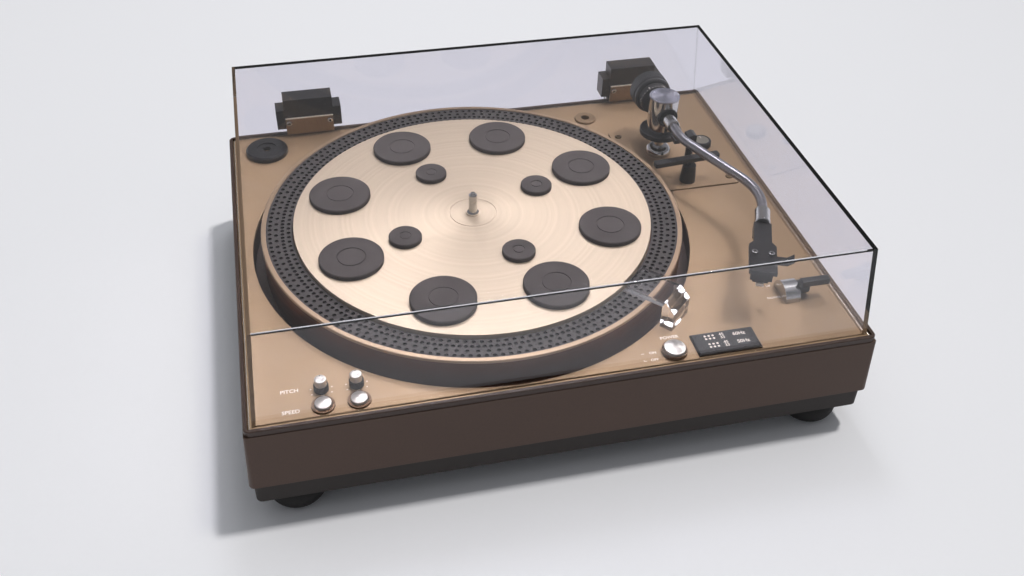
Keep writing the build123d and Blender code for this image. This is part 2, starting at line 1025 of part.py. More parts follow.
# Socket that stores a spare headshell
with BuildPart() as storage_socket:
    disc_layer(socket_x, socket_y, deck_top, socket_flange_radius, socket_flange_height)
    chamfer(storage_socket.faces().sort_by(Axis.Z)[-1].edges(), cap_edge_bevel)
    disc_layer(
        socket_x,
        socket_y,
        deck_top - socket_barrel_depth,
        socket_barrel_radius,
        socket_barrel_depth,
    )
    disc_layer(
        socket_x,
        socket_y,
        deck_top + socket_flange_height - socket_bore_depth,
        socket_bore_radius,
        socket_bore_depth,
        Mode.SUBTRACT,
    )

# Adaptor for records with a large hole
with BuildPart() as adaptor_45:
    adaptor_x = left_edge + adaptor_from_left
    adaptor_y = back_y - adaptor_from_back
    disc_layer(adaptor_x, adaptor_y, deck_top, adaptor_radius, adaptor_height)
    chamfer(adaptor_45.faces().sort_by(Axis.Z)[-1].edges(), adaptor_edge_bevel)
    disc_layer(
        adaptor_x,
        adaptor_y,
        deck_top + adaptor_height - adaptor_dish_depth,
        adaptor_dish_radius,
        adaptor_dish_depth,
        Mode.SUBTRACT,
    )
    disc_layer(
        adaptor_x,
        adaptor_y,
        deck_top,
        adaptor_bore_radius,
        adaptor_height,
        Mode.SUBTRACT,
    )

# Plate under the tonearm, cut back round the platter
with BuildPart() as arm_base_plate:
    base_x = arm_x + (base_right_reach - base_left_reach) / 2
    base_y = arm_y + (base_back_reach - base_front_reach) / 2
    with BuildSketch(Plane((base_x, base_y, deck_top))):
        RectangleRounded(
            base_left_reach + base_right_reach,
            base_front_reach + base_back_reach,
            base_corner,
        )
    extrude(amount=base_thickness)
    for cut_x, cut_y, cut_radius in (
        (platter_x, platter_y, well_radius + base_well_gap),
        (arm_x, arm_y, neck_radius),
        (lifter_x, lifter_y, lifter_stem_radius),
        (skate_x, skate_y, skate_shaft_radius + running_gap),
    ):
        disc_layer(cut_x, cut_y, deck_top, cut_radius, base_thickness, Mode.SUBTRACT)

with BuildPart() as base_screws:
    for screw_right, screw_behind in base_screw_offsets:
        screw_x = arm_x + screw_right
        screw_y = arm_y + screw_behind
        disc_layer(screw_x, screw_y, base_top, base_screw_radius, base_screw_height)
        chamfer(faces().sort_by(Axis.Z)[-1:].edges(), cap_edge_bevel / 2)

# Pillar of the arm, a chrome dome and neck with the bearing post on top
with BuildPart() as arm_pillar:
    with BuildSketch(Plane((arm_x, arm_y, 0), x_dir=(1, 0, 0), z_dir=(0, -1, 0))):
        with BuildLine():
            Polyline(
                (0, flange_top + pivot_post_height),
                (0, deck_top - pillar_shank_depth),
                (neck_radius, deck_top - pillar_shank_depth),
                (neck_radius, base_top),
                (dome_radius, base_top),
                (dome_radius, base_top + dome_foot_height),
            )
            ThreePointArc(
                (dome_radius, base_top + dome_foot_height),
                (
                    dome_top_radius + (dome_radius - dome_top_radius) * cos(radians(45)),
                    base_top + dome_foot_height + (dome_rise - dome_foot_height) * sin(radians(45)),
                ),
                (dome_top_radius, base_top + dome_rise),
            )
            Polyline(
                (dome_top_radius, base_top + dome_rise),
                (neck_radius, base_top + dome_rise),
                (neck_radius, neck_top),
                (pivot_post_radius, neck_top),
                (pivot_post_radius, flange_top + pivot_post_height),
                (0, flange_top + pivot_post_height),
            )
        make_face()
    revolve(axis=Axis((arm_x, arm_y, 0), (0, 0, 1)))

with BuildPart() as pillar_flange:
    ring_layer(
        arm_x,
        arm_y,
        neck_top,
        pillar_flange_radius,
        pivot_post_radius,
        pillar_flange_height,
    )
    chamfer(pillar_flange.faces().sort_by(Axis.Z)[-1].outer_wire().edges(), cap_edge_bevel)

# Turning housing with openings for the tube and the rear shaft
with BuildPart() as pivot_housing:
    disc_layer(arm_x, arm_y, housing_bottom, housing_radius, housing_height)
    disc_layer(
        arm_x,
        arm_y,
        housing_bottom + housing_floor,
        housing_cavity_radius,
        housing_height,
        Mode.SUBTRACT,
    )
    disc_layer(
        arm_x,
        arm_y,
        housing_bottom,
        pivot_post_radius + running_gap,
        housing_floor,
        Mode.SUBTRACT,
    )
    with BuildSketch(Plane((arm_x, arm_y, arm_z), x_dir=(1, 0, 0), z_dir=(0, -1, 0))):
        Circle(front_opening_radius)
    extrude(amount=housing_radius, mode=Mode.SUBTRACT)
    with BuildSketch(Plane((arm_x, arm_y, arm_z), x_dir=(1, 0, 0), z_dir=(0, 1, 0))):
        Circle(rear_opening_radius)
    extrude(amount=housing_radius, mode=Mode.SUBTRACT)
    with BuildSketch(Plane((arm_x, arm_y, arm_z), x_dir=(0, 1, 0), z_dir=(1, 0, 0))):
        Circle(pitch_pin_radius)
    extrude(amount=housing_radius, both=True, mode=Mode.SUBTRACT)

with BuildPart() as pivot_cap:
    disc_layer(arm_x, arm_y, housing_top, housing_cap_radius, housing_cap_height)
    chamfer(pivot_cap.faces().sort_by(Axis.Z)[-1].edges(), housing_cap_bevel)

with BuildPart() as pitch_pins:
    for side in (-1, 1):
        with BuildSketch(
            Plane((arm_x + side * pitch_pin_inner, arm_y, arm_z), x_dir=(0, 1, 0), z_dir=(side, 0, 0))
        ):
            Circle(pitch_pin_radius)
        extrude(amount=housing_radius - pitch_pin_inner)

# Block that rocks on the pins and joins the tube to the rear shaft
arm_across = Plane((arm_x, arm_y, arm_z), x_dir=(1, 0, 0), z_dir=(0, -1, 0))


# A round bar along the arm's rear axis, between two distances from the pivot
def rear_ring(start, end, outer, inner=0, mode=Mode.ADD):
    with BuildSketch(Plane((arm_x, arm_y + start, arm_z), x_dir=(1, 0, 0), z_dir=(0, 1, 0))) as ring:
        Circle(outer)
        if inner > 0:
            Circle(inner, mode=Mode.SUBTRACT)
    extrude(ring.sketch, amount=end - start, mode=mode)


with BuildPart() as arm_block:
    with BuildSketch(arm_across):
        Circle(block_radius)
    extrude(amount=block_half_length, both=True)
    for side in (-1, 1):
        with BuildSketch(
            Plane(
                (arm_x + side * (pitch_pin_inner - running_gap), arm_y, arm_z),
                x_dir=(0, 1, 0),
                z_dir=(side, 0, 0),
            )
        ):
            Circle(pitch_pin_radius + running_gap)
        extrude(amount=block_radius, mode=Mode.SUBTRACT)
    rear_ring(block_half_length, rear_shaft_end, rear_shaft_radius)
    with BuildSketch(arm_across.offset(block_half_length)):
        Circle(sleeve_radius)
    extrude(amount=sleeve_length)
    chamfer(arm_block.faces().sort_by(Axis.Y)[0].edges(), sleeve_bevel)
    with BuildSketch(arm_across.offset(tube_start)):
        Circle(tube_radius)
    extrude(amount=sleeve_length, mode=Mode.SUBTRACT)

# S shaped tube from the sleeve to the collar
with BuildPart() as arm_tube:
    with BuildLine() as tube_path:
        FilletPolyline(
            (arm_x, arm_y - tube_start, arm_z),
            (arm_x, arm_y - first_bend_reach, arm_z),
            (arm_x + second_bend_x, arm_bend_y, arm_z),
            shell_point(-tube_end_gap, 0),
            radius=bend_radius,
        )
    with BuildSketch(Plane((arm_x, arm_y - tube_start, arm_z), x_dir=(1, 0, 0), z_dir=(0, -1, 0))):
        Circle(tube_radius)
    sweep()

# Locking collar that turns on the end of the tube
with BuildPart() as locking_collar:
    with BuildSketch(shell_cross_plane(-collar_length)):
        Circle(collar_radius)
    extrude(amount=collar_length)
    chamfer(locking_collar.edges().filter_by(GeomType.CIRCLE), collar_bevel)
    with BuildSketch(shell_cross_plane(-collar_length)):
        Circle(tube_radius + running_gap)
    extrude(amount=collar_length, mode=Mode.SUBTRACT)

# Headshell with its rear plug
with BuildPart() as headshell:
    shell_bottom_rise = shell_top_rise - shell_thickness
    flare_end = shell_neck_length + shell_flare_length
    with BuildSketch(shell_plane(shell_bottom_rise)):
        Polygon(
            (moving_gap, shell_rear_width / 2),
            (shell_neck_length, shell_rear_width / 2),
            (flare_end, shell_front_width / 2),
            (shell_length, shell_front_width / 2),
            (shell_length, -shell_front_width / 2),
            (flare_end, -shell_front_width / 2),
            (shell_neck_length, -shell_rear_width / 2),
            (moving_gap, -shell_rear_width / 2),
            align=None,
        )
    extrude(amount=shell_thickness)
    with BuildSketch(shell_plane(-shell_block_drop)):
        with Locations(((moving_gap + shell_block_length) / 2, 0)):
            Rectangle(shell_block_length - moving_gap, shell_rear_width)
    extrude(amount=shell_block_drop + shell_top_rise)
    with BuildSketch(shell_cross_plane(moving_gap)):
        Circle(plug_radius)
    extrude(amount=-plug_length)
    with BuildSketch(shell_plane(shell_bottom_rise)):
        for side in (-1, 1):
            with Locations((screw_from_collar, side * screw_spacing / 2)):
                Circle(screw_radius)
    extrude(amount=shell_thickness, mode=Mode.SUBTRACT)

with BuildPart() as shell_screws:
    for side in (-1, 1):
        with BuildSketch(shell_plane(shell_top_rise)):
            with Locations((screw_from_collar, side * screw_spacing / 2)):
                Circle(screw_head_radius)
        extrude(amount=screw_head_height)
        with BuildSketch(shell_plane(shell_top_rise)):
            with Locations((screw_from_collar, side * screw_spacing / 2)):
                Circle(screw_radius)
        extrude(amount=-screw_depth)

# Cartridge below the shell, with the stylus at its nose
cartridge_bottom_rise = shell_bottom_rise - cartridge_height
nose_bottom_rise = cartridge_bottom_rise - cartridge_nose_height
with BuildPart() as cartridge:
    with BuildSketch(shell_plane(cartridge_bottom_rise)):
        with Locations((cartridge_start + cartridge_length / 2, 0)):
            Rectangle(cartridge_length, cartridge_width)
    extrude(amount=cartridge_height)
    with BuildSketch(shell_plane(nose_bottom_rise)):
        with Locations((cartridge_nose_start + cartridge_nose_length / 2, 0)):
            Rectangle(cartridge_nose_length, cartridge_nose_width)
    extrude(amount=cartridge_nose_height)
    with BuildSketch(shell_plane(shell_top_rise)):
        for side in (-1, 1):
            with Locations((screw_from_collar, side * screw_spacing / 2)):
                Circle(screw_radius)
    extrude(amount=-screw_depth, mode=Mode.SUBTRACT)

with BuildPart() as stylus:
    with BuildSketch(shell_plane(nose_bottom_rise)):
        with Locations((stylus_start + stylus_length / 2, 0)):
            Rectangle(stylus_length, stylus_width)
    extrude(amount=-stylus_height)
    with BuildSketch(shell_plane(nose_bottom_rise - stylus_height)):
        with Locations((stylus_reach, 0)):
            Circle(stylus_tip_radius)
    extrude(amount=-stylus_tip_height)

# Finger lift at the shell's right side
with BuildPart() as finger_lift:
    lift_across = shell_cross_plane(lift_start)
    lift_inner = shell_front_width / 2
    lift_outer = lift_inner + lift_reach
    with BuildSketch(lift_across):
        with BuildLine():
            Polyline(
                (lift_outer, shell_bottom_rise + lift_curl + lift_thickness),
                (lift_inner + lift_curl_start, shell_bottom_rise + lift_thickness),
                (lift_inner, shell_bottom_rise + lift_thickness),
                (lift_inner, shell_bottom_rise),
                (lift_inner + lift_curl_start, shell_bottom_rise),
                (lift_outer, shell_bottom_rise + lift_curl),
                (lift_outer, shell_bottom_rise + lift_curl + lift_thickness),
            )
        make_face()
    extrude(amount=lift_width)

# Counterweight parts on the rear shaft
with BuildPart() as weight_bush:
    rear_ring(bush_start, bush_end, bush_radius, rear_shaft_radius + running_gap)

with BuildPart() as force_dial:
    rear_ring(dial_start, dial_end, dial_radius, bush_radius + running_gap)

with BuildPart() as counterweight:
    rear_ring(weight_start, weight_end, weight_radius)
    chamfer(counterweight.edges().filter_by(GeomType.CIRCLE), weight_edge_bevel)
    rear_ring(weight_start, weight_end, bush_radius + running_gap, 0, Mode.SUBTRACT)

# Arm rest, a post with a cradle beside the tube
with BuildPart() as armrest:
    rest_x = arm_x + rest_right_of_arm
    rest_y = arm_y - rest_ahead_of_arm
    rest_bottom = arm_z - rest_arm_drop
    rest_wall_left = arm_x + rest_wall_offset
    disc_layer(rest_x, rest_y, base_top, rest_post_radius, rest_bottom - base_top)
    block_layer(
        (arm_x + rest_arm_left + rest_wall_left + rest_wall_thickness) / 2,
        rest_y,
        rest_bottom,
        rest_wall_left + rest_wall_thickness - arm_x - rest_arm_left,
        rest_length,
        rest_arm_thickness,
    )
    block_layer(
        rest_wall_left + rest_wall_thickness / 2,
        rest_y,
        rest_bottom,
        rest_wall_thickness,
        rest_length,
        rest_arm_drop + rest_wall_rise,
    )
    fillet(armrest.faces().sort_by(Axis.Z)[-1].edges().filter_by(Axis.Y), rest_edge_round)

# Lifter post, and the bar that rises out of it
with BuildPart() as lifter_post:
    with BuildSketch(Plane((lifter_x, lifter_y, base_top))):
        Circle(lifter_base_radius)
    with BuildSketch(Plane((lifter_x, lifter_y, base_top + lifter_height))):
        Circle(lifter_top_radius)
    loft()
    disc_layer(
        lifter_x,
        lifter_y,
        deck_top - lifter_stem_depth,
        lifter_stem_radius,
        lifter_stem_depth + base_thickness,
    )
    disc_layer(
        lifter_x,
        lifter_y,
        deck_top - lifter_stem_depth + lifter_floor,
        lifter_pin_radius + running_gap,
        lifter_stem_depth + base_thickness + lifter_height,
        Mode.SUBTRACT,
    )

with BuildPart() as lifter_bar:
    bar_bottom = deck_top + bar_rise
    bar_turn = radians(bar_angle)
    with BuildSketch(
        Plane(
            (lifter_x, lifter_y, bar_bottom),
            x_dir=(cos(bar_turn), sin(bar_turn), 0),
            z_dir=(0, 0, 1),
        )
    ):
        with Locations((bar_offset, 0)):
            RectangleRounded(bar_length, bar_width, bar_edge_round)
    extrude(amount=bar_height)
    pin_bottom = deck_top - lifter_stem_depth + lifter_floor + moving_gap
    disc_layer(lifter_x, lifter_y, pin_bottom, lifter_pin_radius, bar_bottom - pin_bottom)

# Cue lever beside its curved housing
cue_axis_z = deck_top + cue_axis_rise
hub_left = cue_x + cue_housing_width / 2 + moving_gap
with BuildPart() as cue_housing:
    with BuildSketch(Plane((cue_x, cue_y, deck_top), x_dir=(0, 1, 0), z_dir=(1, 0, 0))):
        Circle(cue_housing_radius)
        with Locations((0, -cue_housing_radius / 2)):
            Rectangle(cue_housing_radius * 2, cue_housing_radius, mode=Mode.SUBTRACT)
    extrude(amount=cue_housing_width / 2, both=True)
    with BuildSketch(
        Plane((hub_left - cue_axle_length, cue_y, cue_axis_z), x_dir=(0, 1, 0), z_dir=(1, 0, 0))
    ):
        Circle(cue_axle_radius + running_gap)
    extrude(amount=cue_axle_length, mode=Mode.SUBTRACT)

with BuildPart() as cue_lever:
    hub_plane = Plane((hub_left, cue_y, cue_axis_z), x_dir=(0, 1, 0), z_dir=(1, 0, 0))
    with BuildSketch(hub_plane):
        Circle(cue_hub_radius)
    extrude(amount=cue_hub_width)
    with BuildSketch(hub_plane):
        Circle(cue_axle_radius)
    extrude(amount=-(cue_axle_length - moving_gap))
    with BuildSketch(hub_plane):
        handle_rise = cue_handle_rise - cue_axis_rise
        Polygon(
            (-cue_web_width / 2, 0),
            (cue_web_width / 2, 0),
            (cue_handle_offset + cue_web_width / 2, handle_rise),
            (cue_handle_offset - cue_web_width / 2, handle_rise),
            align=None,
        )
    extrude(amount=cue_hub_width)
    with BuildSketch(hub_plane):
        with Locations((cue_handle_offset, handle_rise)):
            RectangleRounded(cue_handle_width, cue_handle_height, cap_edge_bevel)
    extrude(amount=cue_hub_width + cue_handle_length)

# Anti skating dial on its shaft
with BuildPart() as antiskate_dial:
    skate_bottom = base_top + moving_gap
    disc_layer(skate_x, skate_y, skate_bottom, skate_radius, skate_height)
    chamfer(antiskate_dial.faces().sort_by(Axis.Z)[-1].edges(), skate_edge_bevel)
    disc_layer(
        skate_x,
        skate_y,
        deck_top - skate_shaft_depth,
        skate_shaft_radius,
        skate_bottom - deck_top + skate_shaft_depth,
    )


# Half width, front and back of the cover's outside, at a share of its height
def cover_outline(share):
    half = cover_half_width - share * cover_side_lean
    front = front_y + cover_front_inset + share * cover_front_lean
    back = back_y - cover_back_inset - share * cover_back_lean
    return half, front, back


# Dust cover, an open box leaning in on all sides
share_in = cover_wall / cover_height
with BuildPart() as dust_cover:
    for inset, top_share, cover_mode in ((0, 1, Mode.ADD), (cover_wall, 1 - share_in, Mode.SUBTRACT)):
        for share in (0, top_share):
            half, front, back = cover_outline(share)
            with BuildSketch(Plane((0, (front + back) / 2, deck_top + share * cover_height))):
                Rectangle(2 * (half - inset), back - front - 2 * inset)
        loft(ruled=True, mode=cover_mode)

# Hinges, the clamped halves on the cover and the leaves on the plinth
hinge_x = right_edge - hinge_from_side
hinge_sides = (-hinge_x, hinge_x)
block_back_y = back_y + hinge_block_reach
wide_bottom = deck_top + hinge_wide_bottom_rise
wide_top = deck_top + hinge_wide_top_rise
narrow_top = deck_top + hinge_top_rise
cover_lean = atan(cover_back_lean / cover_height)
with BuildPart() as hinge_blocks:
    for side_x in hinge_sides:
        side_profile(
            side_x,
            [
                (cover_back_at(wide_bottom), wide_bottom),
                (block_back_y, wide_bottom),
                (block_back_y, wide_top),
                (cover_back_at(wide_top), wide_top),
            ],
            hinge_wide,
        )
        side_profile(
            side_x,
            [
                (cover_back_at(wide_top), wide_top),
                (block_back_y, wide_top),
                (block_back_y, narrow_top),
                (cover_back_at(narrow_top), narrow_top),
            ],
            hinge_narrow,
        )
        side_profile(
            side_x,
            [
                (pin_y - hinge_knuckle_radius, pin_z),
                (pin_y + hinge_knuckle_radius, pin_z),
                (block_back_y, wide_bottom),
                (pin_y - hinge_knuckle_radius, wide_bottom),
            ],
            hinge_tongue_width,
        )
        with BuildSketch(Plane((side_x, pin_y, pin_z), x_dir=(0, 1, 0), z_dir=(1, 0, 0))):
            Circle(hinge_knuckle_radius)
        extrude(amount=hinge_tongue_width / 2, both=True)
        with BuildSketch(Plane((side_x, pin_y, pin_z), x_dir=(0, 1, 0), z_dir=(1, 0, 0))):
            Circle(hinge_pin_radius + running_gap)
        extrude(amount=hinge_tongue_width / 2, both=True, mode=Mode.SUBTRACT)

with BuildPart() as hinge_leaves:
    leaf_top = pin_z - leaf_top_drop
    ear_middle = hinge_tongue_width / 2 + moving_gap + hinge_ear_width / 2
    for side_x in hinge_sides:
        side_profile(
            side_x,
            [
                (plinth_back_at(leaf_bottom), leaf_bottom),
                (back_y + leaf_reach, leaf_bottom),
                (back_y + leaf_reach, leaf_top),
                (plinth_back_at(leaf_top), leaf_top),
            ],
            leaf_width,
        )
        for ear_side in (-1, 1):
            ear_x = side_x + ear_side * ear_middle
            side_profile(
                ear_x,
                [
                    (plinth_back_at(leaf_top), leaf_top),
                    (back_y + leaf_reach, leaf_top),
                    (pin_y + hinge_knuckle_radius, pin_z),
                    (pin_y - hinge_knuckle_radius, pin_z),
                ],
                hinge_ear_width,
            )
            with BuildSketch(Plane((ear_x, pin_y, pin_z), x_dir=(0, 1, 0), z_dir=(1, 0, 0))):
                Circle(hinge_knuckle_radius)
            extrude(amount=hinge_ear_width / 2, both=True)
            with BuildSketch(Plane((ear_x, pin_y, pin_z), x_dir=(0, 1, 0), z_dir=(1, 0, 0))):
                Circle(hinge_pin_radius)
            extrude(amount=hinge_ear_width / 2, both=True, mode=Mode.SUBTRACT)

with BuildPart() as hinge_pins:
    pin_half = hinge_tongue_width / 2 + moving_gap + hinge_ear_width
    for side_x in hinge_sides:
        with BuildSketch(Plane((side_x, pin_y, pin_z), x_dir=(0, 1, 0), z_dir=(1, 0, 0))):
            Circle(hinge_pin_radius)
        extrude(amount=pin_half, both=True)

# Metal plates inside the cover, with the screws that clamp the hinges
with BuildPart() as clamp_plates:
    clamp_bottom = deck_top + clamp_bottom_rise
    clamp_top = deck_top + clamp_top_rise
    for side_x in hinge_sides:
        side_profile(
            side_x,
            [
                (cover_back_at(clamp_bottom) - cover_wall, clamp_bottom),
                (cover_back_at(clamp_top) - cover_wall, clamp_top),
                (cover_back_at(clamp_top) - cover_wall - clamp_thickness, clamp_top),
                (cover_back_at(clamp_bottom) - cover_wall - clamp_thickness, clamp_bottom),
            ],
            clamp_width,
        )

# Planes at the clamp screws, square to the leaning wall
screw_z = deck_top + clamp_screw_rise
screw_seat_y = cover_back_at(screw_z) - cover_wall - clamp_thickness
screw_planes = [
    Plane(
        (side_x + offset, screw_seat_y, screw_z),
        x_dir=(1, 0, 0),
        z_dir=(0, cos(cover_lean), sin(cover_lean)),
    )
    for side_x in hinge_sides
    for offset in (-clamp_screw_offset, clamp_screw_offset)
]
with BuildPart() as clamp_screws:
    for screw_plane in screw_planes:
        with BuildSketch(screw_plane):
            Circle(clamp_screw_head_radius)
        extrude(amount=-clamp_screw_head_height)
        with BuildSketch(screw_plane):
            Circle(clamp_screw_radius)
        extrude(amount=clamp_screw_length)

# Signal sockets and the cord's gland on the tray's back
signal_x = right_edge - signal_from_right
gland_x = left_edge + gland_from_left
tray_middle = foot_height + tray_height / 2
rear_plane = Plane((0, back_y, tray_middle), x_dir=(-1, 0, 0), z_dir=(0, 1, 0))
with BuildPart() as signal_sockets:
    with BuildSketch(rear_plane):
        with Locations((-signal_x, 0)):
            Rectangle(signal_plate_width, signal_plate_height)
    extrude(amount=signal_plate_thickness)
    barrel_plane = rear_plane.offset(signal_plate_thickness)
    for side in (-1, 1):
        with BuildSketch(barrel_plane):
            with Locations((-signal_x + side * signal_spacing / 2, 0)):
                Circle(signal_barrel_radius)
        extrude(amount=signal_barrel_length)
        with BuildSketch(barrel_plane.offset(signal_barrel_length - signal_bore_depth)):
            with Locations((-signal_x + side * signal_spacing / 2, 0)):
                Circle(signal_bore_radius)
        extrude(amount=signal_bore_depth, mode=Mode.SUBTRACT)

with BuildPart() as cord_gland:
    with BuildSketch(rear_plane):
        with Locations((-gland_x, 0)):
            Circle(gland_flange_radius)
    extrude(amount=gland_flange_thickness)
    with BuildSketch(rear_plane):
        with Locations((-gland_x, 0)):
            Circle(gland_nose_radius)
    extrude(amount=gland_nose_length)
    with BuildSketch(rear_plane):
        with Locations((-gland_x, 0)):
            Circle(gland_bore_radius)
    extrude(amount=gland_nose_length, mode=Mode.SUBTRACT)

# Screw holes through the plates, the cover and the hinge blocks
with BuildPart() as screw_holes:
    for screw_plane in screw_planes:
        with BuildSketch(screw_plane):
            Circle(clamp_screw_radius)
        extrude(amount=clamp_screw_length)
for pierced in (clamp_plates, dust_cover, hinge_blocks):
    pierced.part = pierced.part - screw_holes.part

pieces = {
    "plinth_body": plinth_body,
    "base_tray": base_tray,
    "rim_trim": rim_trim,
    "deck_plate": deck_plate,
    "platter_well": platter_well,
    "rubber_feet": rubber_feet,
    "foot_screws": foot_screws,
    "platter": platter,
    "platter_lip": platter_lip,
    "strobe_ring": strobe_ring,
    "platter_pads": platter_pads,
    "spindle": spindle,
    "bearing_housing": bearing_housing,
    "motor_stator": motor_stator,
    "rotor_magnet": rotor_magnet,
    "transformer": transformer,
    "control_board": control_board,
    "strobe_lamp": strobe_lamp,
    "strobe_prism": strobe_prism,
    "power_button": power_button,
    "speed_button_33": speed_button_33,
    "speed_button_45": speed_button_45,
    "button_collars": button_collars,
    "pitch_knob_33": pitch_knob_33,
    "pitch_knob_45": pitch_knob_45,
    "legend_plate": legend_plate,
    "storage_socket": storage_socket,
    "adaptor_45": adaptor_45,
    "arm_base_plate": arm_base_plate,
    "base_screws": base_screws,
    "arm_pillar": arm_pillar,
    "pillar_flange": pillar_flange,
    "pivot_housing": pivot_housing,
    "pivot_cap": pivot_cap,
    "pitch_pins": pitch_pins,
    "arm_block": arm_block,
    "arm_tube": arm_tube,
    "locking_collar": locking_collar,
    "headshell": headshell,
    "shell_screws": shell_screws,
    "cartridge": cartridge,
    "stylus": stylus,
    "finger_lift": finger_lift,
    "weight_bush": weight_bush,
    "force_dial": force_dial,
    "counterweight": counterweight,
    "armrest": armrest,
    "lifter_post": lifter_post,
    "lifter_bar": lifter_bar,
    "cue_housing": cue_housing,
    "cue_lever": cue_lever,
    "antiskate_dial": antiskate_dial,
    "dust_cover": dust_cover,
    "hinge_blocks": hinge_blocks,
    "hinge_leaves": hinge_leaves,
    "hinge_pins": hinge_pins,
    "clamp_plates": clamp_plates,
    "clamp_screws": clamp_screws,
    "signal_sockets": signal_sockets,
    "cord_gland": cord_gland,
}
for name, piece in pieces.items():
    piece.part.label = name
    export_step(piece.part, f"parts/{name}.step")
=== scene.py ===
from math import cos, pi, radians, sin, sqrt

import bmesh
import bpy
from bpy.props import FloatProperty, FloatVectorProperty, IntProperty, PointerProperty
from mathutils import Matrix, Vector
from mathutils.geometry import tessellate_polygon


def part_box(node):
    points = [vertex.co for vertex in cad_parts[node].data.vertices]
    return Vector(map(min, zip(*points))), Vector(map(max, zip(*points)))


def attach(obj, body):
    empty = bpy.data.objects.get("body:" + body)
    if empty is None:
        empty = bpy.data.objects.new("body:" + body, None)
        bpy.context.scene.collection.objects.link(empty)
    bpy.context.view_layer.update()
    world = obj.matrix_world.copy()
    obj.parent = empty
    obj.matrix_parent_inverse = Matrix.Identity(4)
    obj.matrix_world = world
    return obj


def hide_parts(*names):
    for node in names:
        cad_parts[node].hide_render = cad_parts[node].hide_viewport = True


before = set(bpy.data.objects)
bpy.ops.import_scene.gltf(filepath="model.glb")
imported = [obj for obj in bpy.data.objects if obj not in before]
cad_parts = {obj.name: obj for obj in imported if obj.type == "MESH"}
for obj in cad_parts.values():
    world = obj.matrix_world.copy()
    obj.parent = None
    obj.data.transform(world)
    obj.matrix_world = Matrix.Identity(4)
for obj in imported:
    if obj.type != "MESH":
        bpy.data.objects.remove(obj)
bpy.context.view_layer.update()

bl_info = {
    "name": "Direct drive turntable",
    "version": (1, 0, 0),
    "blender": (4, 5, 0),
    "location": "3D View > Sidebar > Turntable",
    "description": "Dresses the packed turntable with its finishes and fine detail",
    "category": "Object",
}

MM = 0.001
# Lathe lines are this much wider on upright sides than on level faces
SIDE_LINES = 4.0
# A radius below this is a point on the axis
POINT_RADIUS = 1e-7


def box_centre(node):
    """The middle of a CAD node's box."""
    low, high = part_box(node)
    return (low + high) / 2


def box_radius(node):
    """Half the width of a CAD node's box, the radius of a round piece."""
    low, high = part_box(node)
    return (high.x - low.x) / 2


PLATTER_CENTRE = box_centre("platter_lip")
PIVOT_CENTRE = box_centre("pivot_cap")
# The turned metal of each cap, by its CAD node
SPUN_CAPS = {
    "power_button": "spun_power",
    "speed_button_33": "spun_speed_33",
    "speed_button_45": "spun_speed_45",
    "pitch_knob_33": "spun_knob_33",
    "pitch_knob_45": "spun_knob_45",
}


def hex_colour(text):
    """A six digit screen colour as the linear colour that shaders use."""
    parts = [int(text[i : i + 2], 16) / 255 for i in (0, 2, 4)]
    return tuple(c / 12.92 if c <= 0.04045 else ((c + 0.055) / 1.055) ** 2.4 for c in parts)


def colour(name, text, about):
    return FloatVectorProperty(
        name=name, description=about, subtype="COLOR", size=3, min=0, max=1, default=hex_colour(text)
    )


def length(name, value, about):
    return FloatProperty(name=name, description=about, unit="LENGTH", min=0, default=value)


def number(name, value, about, **limits):
    return FloatProperty(name=name, description=about, default=value, **limits)


def count(name, value, about):
    return IntProperty(name=name, description=about, min=3, default=value)


class TurntableFinishes(bpy.types.PropertyGroup):
    """Colours of the turntable's surfaces"""

    deck: colour("Deck", "9A8062", "Champagne metallic paint of the deck")
    case: colour("Case", "513F36", "Dark grey brown paint of the case")
    tray: colour("Tray", "221915", "Satin black of the tray under the case")
    rim: colour("Rim", "3B2921", "Dark brown edge frame round the deck")
    well: colour("Well", "423029", "Black paint of the platter's well")
    disc: colour("Platter disc", "CAB9A3", "Machined face of the platter")
    # Painted shade: the dark of the platter's side stands in for the shade that the side sits in
    skirt: colour("Platter side", "603A2A", "Dark brown side of the platter")
    strobe: colour("Strobe ring", "2A2423", "Dark ring with the strobe pits")
    pits: colour("Strobe pits", "0A0808", "Black inside the strobe pits")
    # Painted shade: this black stands in for the shade inside the strobe pits, in the screws' cross slots,
    # round the base screws and round the arm's base plate
    lip: colour("Platter lip", "AF967C", "Champagne ring at the platter's edge")
    pads: colour("Rubber pads", "2E2827", "Rubber pads on the platter")
    feet: colour("Feet", "100E0E", "Rubber feet")
    chrome: colour("Chrome", "D9D8D6", "Polished plating of the arm")
    satin: colour("Satin tube", "9A989C", "Satin plating of the arm's tube")
    caps: colour("Spun caps", "E0DBD4", "Spun aluminium of the buttons")
    black: colour("Black parts", "141214", "Black plastic and lacquer")
    ink: colour("Lettering", "E6DDD2", "Printed words and marks")
    acrylic: colour("Acrylic", "FBFAFF", "Clear acrylic of the dust cover")
    plated: colour("Plated sockets", "C9A24F", "Plated signal sockets")
    collars: colour("Button collars", "6A523E", "Brown metal collars of the buttons")
    skate: colour("Dial top", "8C877C", "Satin top of the anti-skating dial")
    cap: colour("Pivot cap", "B6B6C2", "Spun cap over the arm's pivot")


